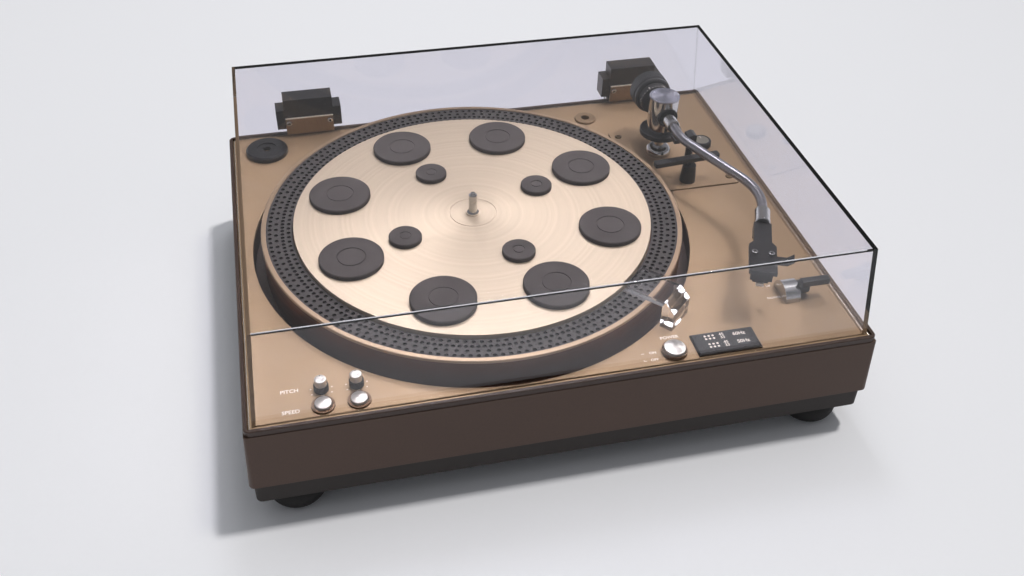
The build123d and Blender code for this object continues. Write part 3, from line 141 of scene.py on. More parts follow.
class TurntableSizes(bpy.types.PropertyGroup):
    """Sizes and counts of the fine detail"""

    strobe_width: length("Strobe ring width", 21.6 * MM, "Width of the strobe ring")
    strobe_margin: length("Strobe margin", 0.6 * MM, "Plain edge on each side of the rows")
    strobe_rise: length("Strobe rise", 0.9 * MM, "Rise of the ring's face from its inner to its outer edge")
    pit_radius: length("Pit radius", 1.7 * MM, "Radius of a strobe pit")
    pit_depth: length("Pit depth", 1.1 * MM, "Depth of a strobe pit")
    row_inner: count("Inner row", 160, "Pits in the inmost row")
    row_second: count("Second row", 216, "Pits in the second row")
    row_third: count("Third row", 133, "Pits in the third row")
    row_outer: count("Outer row", 180, "Pits in the outmost row")
    flutes: count("Knob flutes", 28, "Ribs round a pitch knob")
    knurls: count("Weight ribs", 72, "Ribs round the counterweight")
    dial_ribs: count("Dial ribs", 60, "Ribs round the force dial")
    letter_height: length("Letter height", 3.3 * MM, "Height of the deck's words")
    socket_spacing: length("Socket spacing", 18 * MM, "Spacing of the two signal sockets")
    cover_lean: number("Cover lean", 0.055, "Lean of the cover's back wall from upright", subtype="ANGLE")
    ink_thickness: length("Ink thickness", 0.03 * MM, "Thickness of printed marks")


class TurntableStage(bpy.types.PropertyGroup):
    """Floor, light and camera"""

    floor_size: length("Floor size", 8.0, "Side of the square floor")
    floor: colour("Floor", "EDEFF5", "Pale floor")
    key_power: number("Key light", 1.6, "Strength of the main light", min=0)
    key_spread: number("Key spread", radians(5), "Softness of the main light", subtype="ANGLE", min=0)
    window_power: number("Window light", 5.0, "Power of the light behind", min=0)
    fill_power: number("Fill light", 1.0, "Power of the fill light", min=0)
    sky_light: number("Sky light", 0.75, "Strength of the even light", min=0)
    lens: number("Lens", 36.74, "Focal length of the camera in mm", min=1)


# Nodes


def feed(tree, socket, value):
    """Links a socket to another one, or sets its value."""
    if value is None:
        return
    if isinstance(value, bpy.types.NodeSocket):
        tree.links.new(value, socket)
    elif socket.type == "RGBA":
        socket.default_value = (*value[:3], 1)
    else:
        socket.default_value = value


def feed_named(tree, node, **values):
    """Feeds a node's inputs by their names, with _ for a space."""
    for name, value in values.items():
        feed(tree, node.inputs[name.replace("_", " ")], value)
    return node


def place_node(tree, kind, *values, **settings):
    """A new node with settings of its own, its first inputs fed in turn."""
    node = tree.nodes.new(kind)
    for name, value in settings.items():
        setattr(node, name, value)
    for socket, value in zip(node.inputs, values):
        feed(tree, socket, value)
    return node


def new_group(name, inputs, outputs, kind="Shader"):
    """An empty node group, with the sockets of its input node and its output node."""
    tree = bpy.data.node_groups.new(name, kind + "NodeTree")
    for label, socket_kind, value in inputs:
        socket = tree.interface.new_socket(name=label, in_out="INPUT", socket_type="NodeSocket" + socket_kind)
        if value is not None:
            socket.default_value = value
    for label, socket_kind in outputs:
        tree.interface.new_socket(name=label, in_out="OUTPUT", socket_type="NodeSocket" + socket_kind)
    return tree, tree.nodes.new("NodeGroupInput").outputs, tree.nodes.new("NodeGroupOutput")


def math_node(tree, operation, first, second=None, clamp=False):
    return place_node(tree, "ShaderNodeMath", first, second, operation=operation, use_clamp=clamp).outputs[0]


def times(tree, first, second):
    return math_node(tree, "MULTIPLY", first, second)


def vector_node(tree, operation, first, second=None):
    node = place_node(tree, "ShaderNodeVectorMath", first, second, operation=operation)
    return node.outputs["Value" if operation in ("LENGTH", "DOT_PRODUCT") else "Vector"]


def mix_colour(tree, share, first, second, blend="MIX"):
    node = place_node(tree, "ShaderNodeMix", share, data_type="RGBA", blend_type=blend)
    feed(tree, node.inputs[6], first)
    feed(tree, node.inputs[7], second)
    return node.outputs[2]


def map_range(tree, value, low, high, to_low, to_high):
    return place_node(tree, "ShaderNodeMapRange", value, low, high, to_low, to_high).outputs[0]


def noise_node(tree, vector, scale, detail=2.0):
    node = tree.nodes.new("ShaderNodeTexNoise")
    return feed_named(tree, node, Vector=vector, Scale=scale, Detail=detail).outputs["Fac"]


def object_point(tree):
    return tree.nodes.new("ShaderNodeTexCoord").outputs["Object"]


def face_normal(tree):
    return tree.nodes.new("ShaderNodeNewGeometry").outputs["Normal"]


def axis_part(tree, vector, axis):
    return place_node(tree, "ShaderNodeSeparateXYZ", vector).outputs[axis]


# Shader groups


def grain_group():
    """Speckle of a paint or moulded skin: a colour that varies, a roughness that varies and a height."""
    tree, given, made = new_group(
        "Surface Grain",
        [("Colour", "Color", (0.5, 0.5, 0.5, 1)), ("Size", "Float", 0.6 * MM), ("Variation", "Float", 0.1),
         ("Roughness", "Float", 0.5), ("Roughness Spread", "Float", 0.08)],
        [("Colour", "Color"), ("Roughness", "Float"), ("Height", "Float")],
    )
    point = object_point(tree)
    fine = noise_node(tree, point, math_node(tree, "DIVIDE", 1.0, given["Size"]), detail=1.0)
    broad = noise_node(tree, point, scale=18.0, detail=3.0)
    both = math_node(tree, "ADD", times(tree, fine, 0.75), times(tree, broad, 0.25))
    signed = times(tree, math_node(tree, "SUBTRACT", both, 0.5), 4.0)
    brightness = math_node(tree, "ADD", times(tree, signed, given["Variation"]), 1.0)
    grey = place_node(tree, "ShaderNodeCombineColor", brightness, brightness, brightness)
    shade = mix_colour(tree, 1.0, given["Colour"], grey.outputs[0], "MULTIPLY")
    shift = times(tree, signed, given["Roughness Spread"])
    rough = math_node(tree, "ADD", given["Roughness"], shift, clamp=True)
    feed_named(tree, made, Colour=shade, Roughness=rough, Height=fine)
    return tree


def wear_and_highlight_group():
    """Rounded, slightly brighter edges: a worn colour, which also stands in for painted highlights along
    edges, and a normal that rounds sharp corners.
    """
    tree, given, made = new_group(
        "Edge Wear",
        [("Colour", "Color", (0.5, 0.5, 0.5, 1)), ("Worn Colour", "Color", (0.8, 0.8, 0.8, 1)),
         ("Width", "Float", 0.4 * MM), ("Amount", "Float", 0.4)],
        [("Colour", "Color"), ("Normal", "Vector")],
    )
    rounded = place_node(tree, "ShaderNodeBevel", given["Width"], samples=4).outputs[0]
    edge = map_range(tree, vector_node(tree, "DOT_PRODUCT", rounded, face_normal(tree)), 0.99, 0.8, 0.0, 1.0)
    chips = noise_node(tree, object_point(tree), scale=260.0, detail=3.0)
    broken = map_range(tree, chips, 0.35, 0.65, 0.2, 1.0)
    mask = times(tree, times(tree, edge, broken), given["Amount"])
    shade = mix_colour(tree, mask, given["Colour"], given["Worn Colour"])
    feed_named(tree, made, Colour=shade, Normal=rounded)
    return tree


def spun_group():
    """Lathe lines round an upright axis: a height and broad streaks."""
    tree, given, made = new_group(
        "Spun Lines",
        [("Centre", "Vector", (0, 0, 0)), ("Pitch", "Float", 0.3 * MM)],
        [("Height", "Float"), ("Streaks", "Float")],
    )
    offset = vector_node(tree, "SUBTRACT", object_point(tree), given["Centre"])
    radius = vector_node(tree, "LENGTH", vector_node(tree, "MULTIPLY", offset, (1, 1, 0)))
    rings = math_node(tree, "DIVIDE", radius, given["Pitch"])
    heights = math_node(tree, "DIVIDE", axis_part(tree, offset, "Z"), times(tree, given["Pitch"], SIDE_LINES))
    line = place_node(tree, "ShaderNodeCombineXYZ", math_node(tree, "ADD", rings, heights)).outputs[0]
    fine, broad = noise_node(tree, line, scale=1.0), noise_node(tree, line, scale=0.13)
    feed_named(tree, made, Height=fine, Streaks=broad)
    return tree


def dust_group():
    """A thin film of dust on faces that look up."""
    tree, given, made = new_group(
        "Dust",
        [("Colour", "Color", (0.5, 0.5, 0.5, 1)), ("Amount", "Float", 0.1)],
        [("Colour", "Color")],
    )
    up = map_range(tree, axis_part(tree, face_normal(tree), "Z"), 0.3, 1.0, 0.0, 1.0)
    drift = noise_node(tree, object_point(tree), scale=45.0, detail=4.0)
    patches = map_range(tree, drift, 0.3, 0.75, 0.3, 1.0)
    mask = times(tree, times(tree, up, patches), given["Amount"])
    film = (0.55, 0.52, 0.5)
    feed_named(tree, made, Colour=mix_colour(tree, mask, given["Colour"], film))
    return tree


GROUPS = {}


def place_group(tree, build, **values):
    """Puts a shared group into a material, and builds the group the first time it is asked for."""
    if build not in GROUPS:
        GROUPS[build] = build()
    return feed_named(tree, place_node(tree, "ShaderNodeGroup", node_tree=GROUPS[build]), **values)


# Materials


def new_material(name):
    """An empty material with its Principled shader and its output."""
    material = bpy.data.materials.new(name)
    material.use_nodes = True
    tree = material.node_tree
    tree.nodes.clear()
    output = tree.nodes.new("ShaderNodeOutputMaterial")
    shader = tree.nodes.new("ShaderNodeBsdfPrincipled")
    tree.links.new(shader.outputs[0], output.inputs["Surface"])
    return material, tree, shader, output


def bump(tree, shader, height, strength, distance, normal):
    node = tree.nodes.new("ShaderNodeBump")
    feed_named(tree, node, Strength=strength, Distance=distance, Height=height, Normal=normal)
    tree.links.new(node.outputs[0], shader.inputs["Normal"])


def finish(name, base, rough, metal=0.0, grain=0.6 * MM, variation=0.06, spread=0.05, relief=0.02 * MM,
           strength=0.3, edge=0.4 * MM, wear=0.25, worn=None, dust=0.0, coat=0.0, tint=None, glow=0.0,
           shine=0.5):
    """A painted, moulded or plated surface with grain, softened edges and an optional film of dust."""
    material, tree, shader, _ = new_material(name)
    grained = place_group(
        tree, grain_group, Colour=tint(tree, base) if tint else base, Size=grain, Variation=variation,
        Roughness=rough, Roughness_Spread=spread,
    )
    worn_and_highlight_colour = tuple(min(1.0, c * 1.7 + 0.02) for c in base)
    edged = place_group(
        tree, wear_and_highlight_group, Colour=grained.outputs["Colour"], Worn_Colour=worn or worn_and_highlight_colour, Width=edge,
        Amount=wear,
    )
    shade = edged.outputs["Colour"]
    if dust:
        shade = place_group(tree, dust_group, Colour=shade, Amount=dust).outputs["Colour"]
    feed_named(
        tree, shader, Base_Color=shade, Roughness=grained.outputs["Roughness"], Metallic=metal,
        Coat_Weight=coat, Coat_Roughness=0.15, Specular_IOR_Level=shine, Emission_Color=(0.9, 0.95, 1.0),
        Emission_Strength=glow,
    )
    bump(tree, shader, grained.outputs["Height"], strength, relief, edged.outputs["Normal"])
    return material


def spun_finish(name, base, rough, centre, pitch=0.35 * MM, metal=1.0, anisotropy=0.6, tint=None, shine=0.5):
    """Metal turned on a lathe, with fine rings about an upright axis."""
    material, tree, shader, _ = new_material(name)
    lines = place_group(tree, spun_group, Centre=tuple(centre), Pitch=pitch).outputs
    start = tint(tree, base) if tint else base
    low = mix_colour(tree, 0.12, start, (0.02, 0.02, 0.02))
    streaked = mix_colour(tree, map_range(tree, lines["Streaks"], 0.3, 0.7, 0.0, 1.0), low, start)
    edged = place_group(
        tree, wear_and_highlight_group, Colour=streaked, Worn_Colour=(0.9, 0.88, 0.85), Width=0.3 * MM, Amount=0.2
    ).outputs
    across = vector_node(tree, "SUBTRACT", object_point(tree), tuple(centre))
    around = place_node(
        tree, "ShaderNodeVectorTransform", vector_node(tree, "CROSS_PRODUCT", across, (0, 0, 1)),
        vector_type="VECTOR", convert_from="OBJECT", convert_to="WORLD",
    )
    feed_named(
        tree, shader, Base_Color=edged["Colour"], Metallic=metal, Anisotropic=anisotropy,
        Roughness=map_range(tree, lines["Height"], 0.3, 0.7, rough * 0.8, rough * 1.2),
        Specular_IOR_Level=shine, Tangent=around.outputs[0],
    )
    bump(tree, shader, lines["Height"], strength=0.35, distance=0.03 * MM, normal=edged["Normal"])
    return material


def clear_finish(name, base, rough, bright_edge=None):
    """Clear acrylic that lets the lamps' light through.

    In the wall along a bright edge, given as a furthest Y and a reach to each side, light that has bounced
    about is let straight out, so that the edge shows as a fine pale line.
    """
    material, tree, shader, output = new_material(name)
    smears = noise_node(tree, object_point(tree), scale=30.0, detail=4.0)
    feed_named(
        tree, shader, Base_Color=base, Roughness=map_range(tree, smears, 0.45, 0.75, rough, rough + 0.03),
        Transmission_Weight=1.0, IOR=1.49,
    )
    path = tree.nodes.new("ShaderNodeLightPath").outputs
    free = path["Is Shadow Ray"]
    if bright_edge:
        furthest, reach = bright_edge
        bounces = 3.5
        point = object_point(tree)
        spent = math_node(tree, "GREATER_THAN", path["Ray Depth"], bounces)
        front = math_node(tree, "LESS_THAN", axis_part(tree, point, "Y"), furthest)
        aside = math_node(tree, "ABSOLUTE", axis_part(tree, point, "X"))
        inside = math_node(tree, "LESS_THAN", aside, reach)
        free = math_node(tree, "MAXIMUM", free, times(tree, spent, times(tree, inside, front)))
    straight = place_node(tree, "ShaderNodeBsdfTransparent", (0.93, 0.93, 0.945))
    both = place_node(tree, "ShaderNodeMixShader", free, shader.outputs[0], straight.outputs[0])
    tree.links.new(both.outputs[0], output.inputs["Surface"])
    return material


def platter_side_shade_tint(dark, radius):
    """Makes a tint that is dark outside a radius about the platter's middle, painted shade on the platter's
    side.
    """

    def tint(tree, base):
        offset = vector_node(tree, "SUBTRACT", object_point(tree), tuple(PLATTER_CENTRE))
        reach = vector_node(tree, "LENGTH", vector_node(tree, "MULTIPLY", offset, (1, 1, 0)))
        return mix_colour(tree, math_node(tree, "GREATER_THAN", reach, radius), base, dark)

    return tint


def below_tint(other, axis, limit):
    """Makes a tint that turns to another colour below a limit along an axis."""

    def tint(tree, base):
        part = axis_part(tree, object_point(tree), axis)
        return mix_colour(tree, math_node(tree, "LESS_THAN", part, limit), base, other)

    return tint


MATERIALS = {}


def build_materials(colours):
    """Every finish of the turntable, by a short name."""
    disc_radius = box_radius("strobe_ring") - 22.4 * MM
    cover_low, cover_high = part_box("dust_cover")
    cover_edge = (cover_low.y + 25 * MM, cover_high.x - 9 * MM)
    lip_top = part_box("platter_lip")[1].z
    clamp_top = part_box("clamp_plates")[1].z
    made = {
        # Painted highlight: the deck's pale worn colour on its edges stands for wear and for the highlight
        # along them
        "deck": finish("champagne_deck", colours.deck, 0.42, metal=0.55, grain=0.45 * MM, variation=0.05,
                       relief=0.015 * MM, wear=0.5, worn=(0.75, 0.68, 0.6), dust=0.05),
        "case": finish("case_paint", colours.case, 0.46, metal=0.35, grain=0.6 * MM, variation=0.16,
                       relief=0.03 * MM, wear=0.35),
        "tray": finish("tray_black", colours.tray, 0.6, grain=0.8 * MM, variation=0.12, relief=0.04 * MM),
        "rim": finish("rim_brown", colours.rim, 0.4, grain=0.5 * MM, variation=0.06, wear=0.5,
                      worn=(0.3, 0.24, 0.21)),
        "well": finish("well_black", colours.well, 0.5, grain=0.6 * MM, variation=0.08),
        # Painted shade: outside the disc's radius the platter takes the dark side colour
        "disc": spun_finish("platter_disc", colours.disc, 0.42, PLATTER_CENTRE, pitch=0.5 * MM, metal=0.65,
                            anisotropy=0.35, tint=platter_side_shade_tint(colours.skirt, disc_radius), shine=0.2),
        "strobe": finish("strobe_dark", colours.strobe, 0.5, grain=0.5 * MM, variation=0.1, wear=0.3,
                         shine=0.4),
        # Painted shade: black for the shade in pits, slots and gaps
        "pits": finish("painted_shade_black", colours.pits, 0.9, variation=0.02, wear=0.0, shine=0.05),
        # Painted shade: more than 2.3 mm below its top, the lip takes the side's dark colour for the shade
        # under its rounded top
        "lip": spun_finish("lip_champagne", colours.lip, 0.35, PLATTER_CENTRE, metal=0.8, anisotropy=0.3,
                           tint=below_tint(colours.skirt, "Z", lip_top - 2.3 * MM)),
        # Painted highlight: the clamp plates' top 0.8 mm is pale bright metal for the highlight along their
        # top edge, and the rest is deck colour
        "clamp": finish("clamp_painted_highlight", (0.9, 0.82, 0.7), 0.3, metal=0.6, variation=0.04, wear=0.3,
                        tint=below_tint(colours.deck, "Z", clamp_top - 0.8 * MM)),
        "pads": finish("pad_rubber", colours.pads, 0.72, grain=0.7 * MM, variation=0.07, relief=0.03 * MM,
                       wear=0.3, dust=0.04, shine=0.3),
        "feet": finish("foot_rubber", colours.feet, 0.75, grain=0.9 * MM, variation=0.08, relief=0.05 * MM),
        "chrome": finish("arm_chrome", colours.chrome, 0.09, metal=1.0, variation=0.01, spread=0.03,
                         relief=0.004 * MM, strength=0.1, wear=0.0, edge=0.25 * MM),
        "satin": finish("tube_satin", colours.satin, 0.27, metal=1.0, grain=0.3 * MM, variation=0.02,
                        relief=0.006 * MM, wear=0.0),
        "black": finish("black_plastic", colours.black, 0.38, grain=0.5 * MM, variation=0.08, wear=0.3,
                        coat=0.1),
        "lacquer": finish("black_lacquer", colours.black, 0.3, grain=0.5 * MM, variation=0.05, wear=0.2,
                          coat=0.3),
        "ink": finish("print_ink", colours.ink, 0.6, variation=0.04, wear=0.0),
        "collars": finish("collar_brown", colours.collars, 0.32, metal=0.7, variation=0.03, wear=0.4,
                          worn=(0.8, 0.7, 0.6)),
        "screw": finish("screw_champagne", tuple(0.85 * c for c in colours.deck), 0.3, metal=0.8,
                        variation=0.04),
        # Painted highlight: pale metal on the strip round the deck stands in for the highlight along its edge
        "bright": finish("deck_edge_painted_highlight", (0.86, 0.78, 0.68), 0.2, metal=0.9, variation=0.02, wear=0.0),
        "socket": finish("socket_champagne", tuple(0.75 * c for c in colours.deck), 0.35, metal=0.6,
                         variation=0.04),
        "copper": finish("coil_copper", (0.42, 0.2, 0.11), 0.4, metal=0.9, variation=0.1),
        "steel": finish("zinc_steel", (0.55, 0.54, 0.52), 0.35, metal=1.0, grain=2 * MM, variation=0.08),
        "board": finish("board_green", (0.04, 0.13, 0.06), 0.4, variation=0.1, coat=0.3),
        "lamp": finish("lamp_holder", (0.5, 0.46, 0.44), 0.4, variation=0.05, glow=1.2),
        "stylus": finish("stylus_pale", (0.75, 0.66, 0.55), 0.35, variation=0.04),
        "plated": finish("socket_plating", colours.plated, 0.25, metal=1.0, variation=0.03, wear=0.0,
                         tint=below_tint(colours.black, "Y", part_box("signal_sockets")[0].y + 1.6 * MM)),
        "white": finish("socket_white", (0.8, 0.8, 0.78), 0.45, variation=0.03),
        "red": finish("socket_red", (0.6, 0.03, 0.03), 0.45, variation=0.03),
        "cover": clear_finish("cover_acrylic", colours.acrylic, 0.0, bright_edge=cover_edge),
        "prism": clear_finish("prism_acrylic", (0.97, 0.97, 0.98), 0.01),
    }
    for node, name in SPUN_CAPS.items():
        made[name] = spun_finish(
            name, colours.caps, 0.36, box_centre(node), pitch=0.18 * MM, metal=0.85, anisotropy=0.8
        )
    made["spun_pivot"] = spun_finish("spun_pivot", colours.cap, 0.25, PIVOT_CENTRE, pitch=0.2 * MM,
                                     anisotropy=0.85)
    made["skate"] = spun_finish("skate_top", colours.skate, 0.35, box_centre("antiskate_dial"),
                                pitch=0.2 * MM, metal=0.8, anisotropy=0.4)
    MATERIALS.update(made)


# Meshes


def painted(mesh, material):
    mesh.materials.clear()
    mesh.materials.append(MATERIALS[material])
    return mesh


def moved(mesh, matrix):
    mesh.transform(matrix)
    return mesh


def to_mesh(work, name="shape"):
    mesh = bpy.data.meshes.new(name)
    work.to_mesh(mesh)
    work.free()
    return mesh


def closed_mesh(work):
    """A closed shape's mesh with all its faces turned outwards."""
    bmesh.ops.recalc_face_normals(work, faces=work.faces)
    return to_mesh(work)


def joined(name, meshes):
    """One mesh made of several, with each one's material kept."""
    work = bmesh.new()
    materials = []
    for mesh in meshes:
        start = len(work.faces)
        work.from_mesh(mesh)
        work.faces.ensure_lookup_table()
        for face in work.faces[start:]:
            material = mesh.materials[face.material_index]
            if material not in materials:
                materials.append(material)
            face.material_index = materials.index(material)
    mesh = to_mesh(work, name)
    for material in materials:
        mesh.materials.append(material)
    return mesh


def in_scene(name, data):
    """A new object with its data, linked into the scene."""
    item = bpy.data.objects.new(name, data)
    bpy.context.scene.collection.objects.link(item)
    return item


def add_piece(name, meshes, body, place=Matrix(), nodes=(), angle=35):
    """A finished object at the origin that rides on a body and stands for the nodes named."""
    mesh = moved(joined(name, meshes), place)
    mesh.shade_smooth()
    mesh.set_sharp_from_angle(angle=radians(angle))
    piece = in_scene(name, mesh)
    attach(piece, body)
    if nodes:
        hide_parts(*nodes)


def on_circle(radius, steps, height=0.0):
    """Points round a circle about Z."""
    turns = [2 * pi * i / steps for i in range(steps)]
    return [(radius * cos(a), radius * sin(a), height) for a in turns]


def loop_of(work, points):
    return [work.verts.new(p) for p in points]


def bridge(work, first, second):
    """Faces between two loops of points, of which either may be a single point."""
    steps = max(len(first), len(second))
    for i in range(steps):
        j = (i + 1) % steps
        corners = [loop[k % len(loop)] for loop, k in ((first, i), (first, j), (second, j), (second, i))]
        corners = list(dict.fromkeys(corners))
        if len(corners) > 2:
            work.faces.new(corners)


def turned(material, profile, steps=48, closed=False):
    """A lathe shape about Z from radius and height points. A closed profile makes a ring with a bore."""
    work = bmesh.new()
    rings = [
        loop_of(work, [(0, 0, height)] if radius < POINT_RADIUS else on_circle(radius, steps, height))
        for radius, height in profile
    ]
    for low, high in zip(rings, rings[1:] + rings[:1] if closed else rings[1:]):
        bridge(work, low, high)
    return painted(closed_mesh(work), material)


def block_mesh(wide, deep, high):
    """A small plain block about the origin, to be copied many times."""
    work = bmesh.new()
    bmesh.ops.create_cube(work, size=1.0)
    bmesh.ops.scale(work, vec=(wide, deep, high), verts=work.verts)
    return to_mesh(work)


def dot_mesh(radius, thickness):
    """A thin printed dot about the origin."""
    half = thickness / 2
    return turned("ink", [(0, -half), (radius, -half), (radius, half), (0, half)], steps=14)


def plate(material, outline, low, high):
    """A flat outline as a plate, from low to high along Z."""
    work = bmesh.new()
    base, top = (loop_of(work, [(x, y, z) for x, y in outline]) for z in (low, high))
    work.faces.new(base)
    work.faces.new(top[::-1])
    bridge(work, base, top)
    return painted(closed_mesh(work), material)


def frame_strip(material, low, high, inset, width, bottom, top):
    """A raised strip a little inside a rectangle, with both its upper edges chamfered."""
    work = bmesh.new()
    half = (top - bottom) / 2
    loops = []
    for reach, z in (
        (inset, bottom), (inset, top - half), (inset + half, top), (inset + width - half, top),
        (inset + width, top - half), (inset + width, bottom),
    ):
        left, right, front, back = low.x + reach, high.x - reach, low.y + reach, high.y - reach
        loops.append(loop_of(work, [(left, front, z), (right, front, z), (right, back, z), (left, back, z)]))
    for outer, inner in zip(loops, loops[1:] + loops[:1]):
        bridge(work, outer, inner)
    return painted(closed_mesh(work), material)


def cross_outline(radius, slot, share=1.0):
    """The twelve corners of a screw's cross, in order, drawn in by a share."""
    arm, half = 0.62 * radius, slot / 2
    corners = []
    for quarter in range(4):
        c, d = cos(quarter * pi / 2), sin(quarter * pi / 2)
        corners += [(x * c - y * d, x * d + y * c) for x, y in ((arm, -half), (arm, half), (half, half))]
    return [(share * x, share * y) for x, y in corners]


def cross_head(radius, height, slot, depth, shank, long, steps=24):
    """A screw with a cross sunk in its head, the head's top at zero and a shank below it."""
    work = bmesh.new()
    sides = [(0.82 * radius, 0), (radius, -0.4 * height), (radius, -height)]
    if shank:
        sides += [(shank, -height), (shank, -long)]
    sides = [loop_of(work, on_circle(reach, steps, z)) for reach, z in sides]
    mouth = loop_of(work, [(x, y, 0) for x, y in cross_outline(radius, slot)])
    floor = loop_of(work, [(x, y, -depth) for x, y in cross_outline(radius, slot, 0.9)])
    for first, second in (*zip(sides, sides[1:]), (mouth, floor)):
        bridge(work, first, second)
    top = sides[0] + mouth
    for triple in tessellate_polygon([[v.co for v in sides[0]], [v.co for v in mouth]]):
        work.faces.new([top[i] for i in triple])
    work.faces.new(sides[-1])
    work.faces.new(floor)
    return closed_mesh(work)


def merged_copy(node):
    """A CAD node's mesh as one skin, its flat faces whole, in a new bmesh."""
    work = bmesh.new()
    work.from_mesh(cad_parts[node].data)
    bmesh.ops.remove_doubles(work, verts=work.verts, dist=0.002 * MM)
    bmesh.ops.dissolve_limit(work, angle_limit=radians(0.5), verts=work.verts, edges=work.edges)
    return work


def eased_copy(node, width):
    """A CAD node's shape with its sharp outer edges eased."""
    work = merged_copy(node)
    sharp = [e for e in work.edges if len(e.link_faces) == 2 and e.calc_face_angle_signed(0) > radians(40)]
    bmesh.ops.bevel(
        work, geom=sharp, offset=width, segments=2, profile=0.5, affect="EDGES", clamp_overlap=True
    )
    return closed_mesh(work)


def islands(node):
    """The box of each loose piece of a CAD node, in order from left to right."""
    work = merged_copy(node)
    waiting = set(work.verts)
    boxes = []
    while waiting:
        reached, queue = [], [waiting.pop()]
        while queue:
            vertex = queue.pop()
            reached.append(vertex.co)
            near = {edge.other_vert(vertex) for edge in vertex.link_edges} & waiting
            waiting -= near
            queue += near
        boxes.append([Vector([pick(p[k] for p in reached) for k in range(3)]) for pick in (min, max)])
    work.free()
    return sorted(boxes, key=lambda box: box[0].x)


def grown_outline(node, growth, rise):
    """A thin black plate under a CAD plate that shows round it as a dark line of painted shade."""
    work = merged_copy(node)
    work.normal_update()
    low = min(v.co.z for v in work.verts)
    places = {}
    for vertex in work.verts:
        shift = Vector((0, 0, 0))
        for face in vertex.link_faces:
            if abs(face.normal.z) < 0.5:
                shift += Vector((face.normal.x, face.normal.y, 0))
        place = vertex.co + shift.normalized() * growth
        place.z = low + (rise if vertex.co.z > low + 0.1 * MM else 0)
        places[vertex] = place
    for vertex, place in places.items():
        vertex.co = place
    return to_mesh(work)


# Copies and lettering


def copies_tree():
    """Copies of a piece on the points of a mesh, all turned alike, and each spun further than the last."""
    name = "Copies on Points"
    if name in bpy.data.node_groups:
        return bpy.data.node_groups[name]
    tree, given, made = new_group(
        name,
        [("Geometry", "Geometry", None), ("Copy", "Object", None), ("Turn", "Vector", (0, 0, 0)),
         ("Spin", "Float", 0.0), ("Material", "Material", None)],
        [("Geometry", "Geometry")],
        "Geometry",
    )
    source = place_node(tree, "GeometryNodeObjectInfo", given["Copy"]).outputs["Geometry"]
    index = tree.nodes.new("GeometryNodeInputIndex").outputs[0]
    about = place_node(tree, "ShaderNodeCombineXYZ", None, None, times(tree, index, given["Spin"]))
    turn = vector_node(tree, "ADD", given["Turn"], about.outputs[0])
    copies = tree.nodes.new("GeometryNodeInstanceOnPoints")
    feed_named(tree, copies, Points=given["Geometry"], Instance=source, Rotation=turn)
    real = place_node(tree, "GeometryNodeRealizeInstances", copies.outputs[0])
    dress = tree.nodes.new("GeometryNodeSetMaterial")
    feed_named(tree, dress, Geometry=real.outputs[0], Material=given["Material"])
    tree.links.new(dress.outputs[0], made.inputs[0])
    return tree


def taken_mesh(carrier):
    """The plain mesh that an object makes, with the object removed."""
    bpy.context.view_layer.update()
    mesh = bpy.data.meshes.new_from_object(carrier.evaluated_get(bpy.context.evaluated_depsgraph_get()))
    bpy.data.objects.remove(carrier)
    return mesh


def copies_at(mesh, places, material, turn=(0, 0, 0), spin=0.0):
    """A mesh of copies set on places, all turned alike, and each spun further about Z than the last."""
    points = bpy.data.meshes.new("points")
    points.from_pydata([tuple(p) for p in places], [], [])
    source = in_scene("copy_source", mesh)
    carrier = in_scene("carrier", points)
    modifier = carrier.modifiers.new("copies", "NODES")
    modifier.node_group = copies_tree()
    values = {"Copy": source, "Turn": turn, "Spin": spin, "Material": MATERIALS[material]}
    for item in modifier.node_group.interface.items_tree:
        if item.name in values:
            modifier[item.identifier] = values[item.name]
    copies = taken_mesh(carrier)
    bpy.data.objects.remove(source)
    return copies


def ring_of(mesh, steps, radius, height, material):
    """A mesh of copies set in a ring about Z, each turned to face out."""
    return copies_at(mesh, on_circle(radius, steps, height), material, spin=2 * pi / steps)


def letters(words, height, place):
    """Words as a thin printed mesh, made about the origin and then put in place."""
    capital_share, boldness = 0.7, 0.035
    curve = bpy.data.curves.new("words", "FONT")
    curve.body = words
    curve.size = height / capital_share
    curve.align_x = "CENTER"
    curve.align_y = "CENTER"
    curve.resolution_u = 3
    curve.extrude = bpy.context.scene.turntable_sizes.ink_thickness / 2
    curve.offset = boldness * height
    return painted(moved(taken_mesh(in_scene("words", curve)), place), "ink")


def bar_mark(width, depth, place, material="ink"):
    """A thin printed bar."""
    thickness = bpy.context.scene.turntable_sizes.ink_thickness
    return painted(moved(block_mesh(width, depth, thickness), place), material)


def at(x, y, z):
    return Matrix.Translation((x, y, z))


def on_axis(centre):
    """Moves a shape that stands about Z over to another upright axis."""
    return at(centre.x, centre.y, 0)


def along_y(start):
    """Turns a shape that stands on Z so that it runs back along Y from a point."""
    return Matrix.Translation(start) @ Matrix.Rotation(-pi / 2, 4, "X")


# Pieces


class TurntableOperator:
    """What every operator here shares"""

    bl_options = {"REGISTER", "UNDO"}


def world_light(world, strength):
    """A pale room that is darker half way up, so that plated parts have something to show."""
    world.use_nodes = True
    tree = world.node_tree
    tree.nodes.clear()
    direction = tree.nodes.new("ShaderNodeTexCoord").outputs["Generated"]
    behind = map_range(tree, axis_part(tree, direction, "Y"), -1.0, 1.0, 0.55 * strength, 1.25 * strength)
    ramp = place_node(tree, "ShaderNodeValToRGB", axis_part(tree, direction, "Z"))
    colours = ramp.color_ramp
    colours.interpolation = "B_SPLINE"
    stops = ((0.0, 0.95), (0.15, 0.88), (0.38, 0.2), (0.7, 0.2), (0.95, 0.9))
    while len(colours.elements) < len(stops):
        colours.elements.new(0.5)
    for element, (place, level) in zip(colours.elements, stops):
        element.position = place
        element.color = (level * 0.985, level * 0.99, level, 1)
    light = place_node(tree, "ShaderNodeBackground", ramp.outputs[0], behind)
    place_node(tree, "ShaderNodeOutputWorld", light.outputs[0])


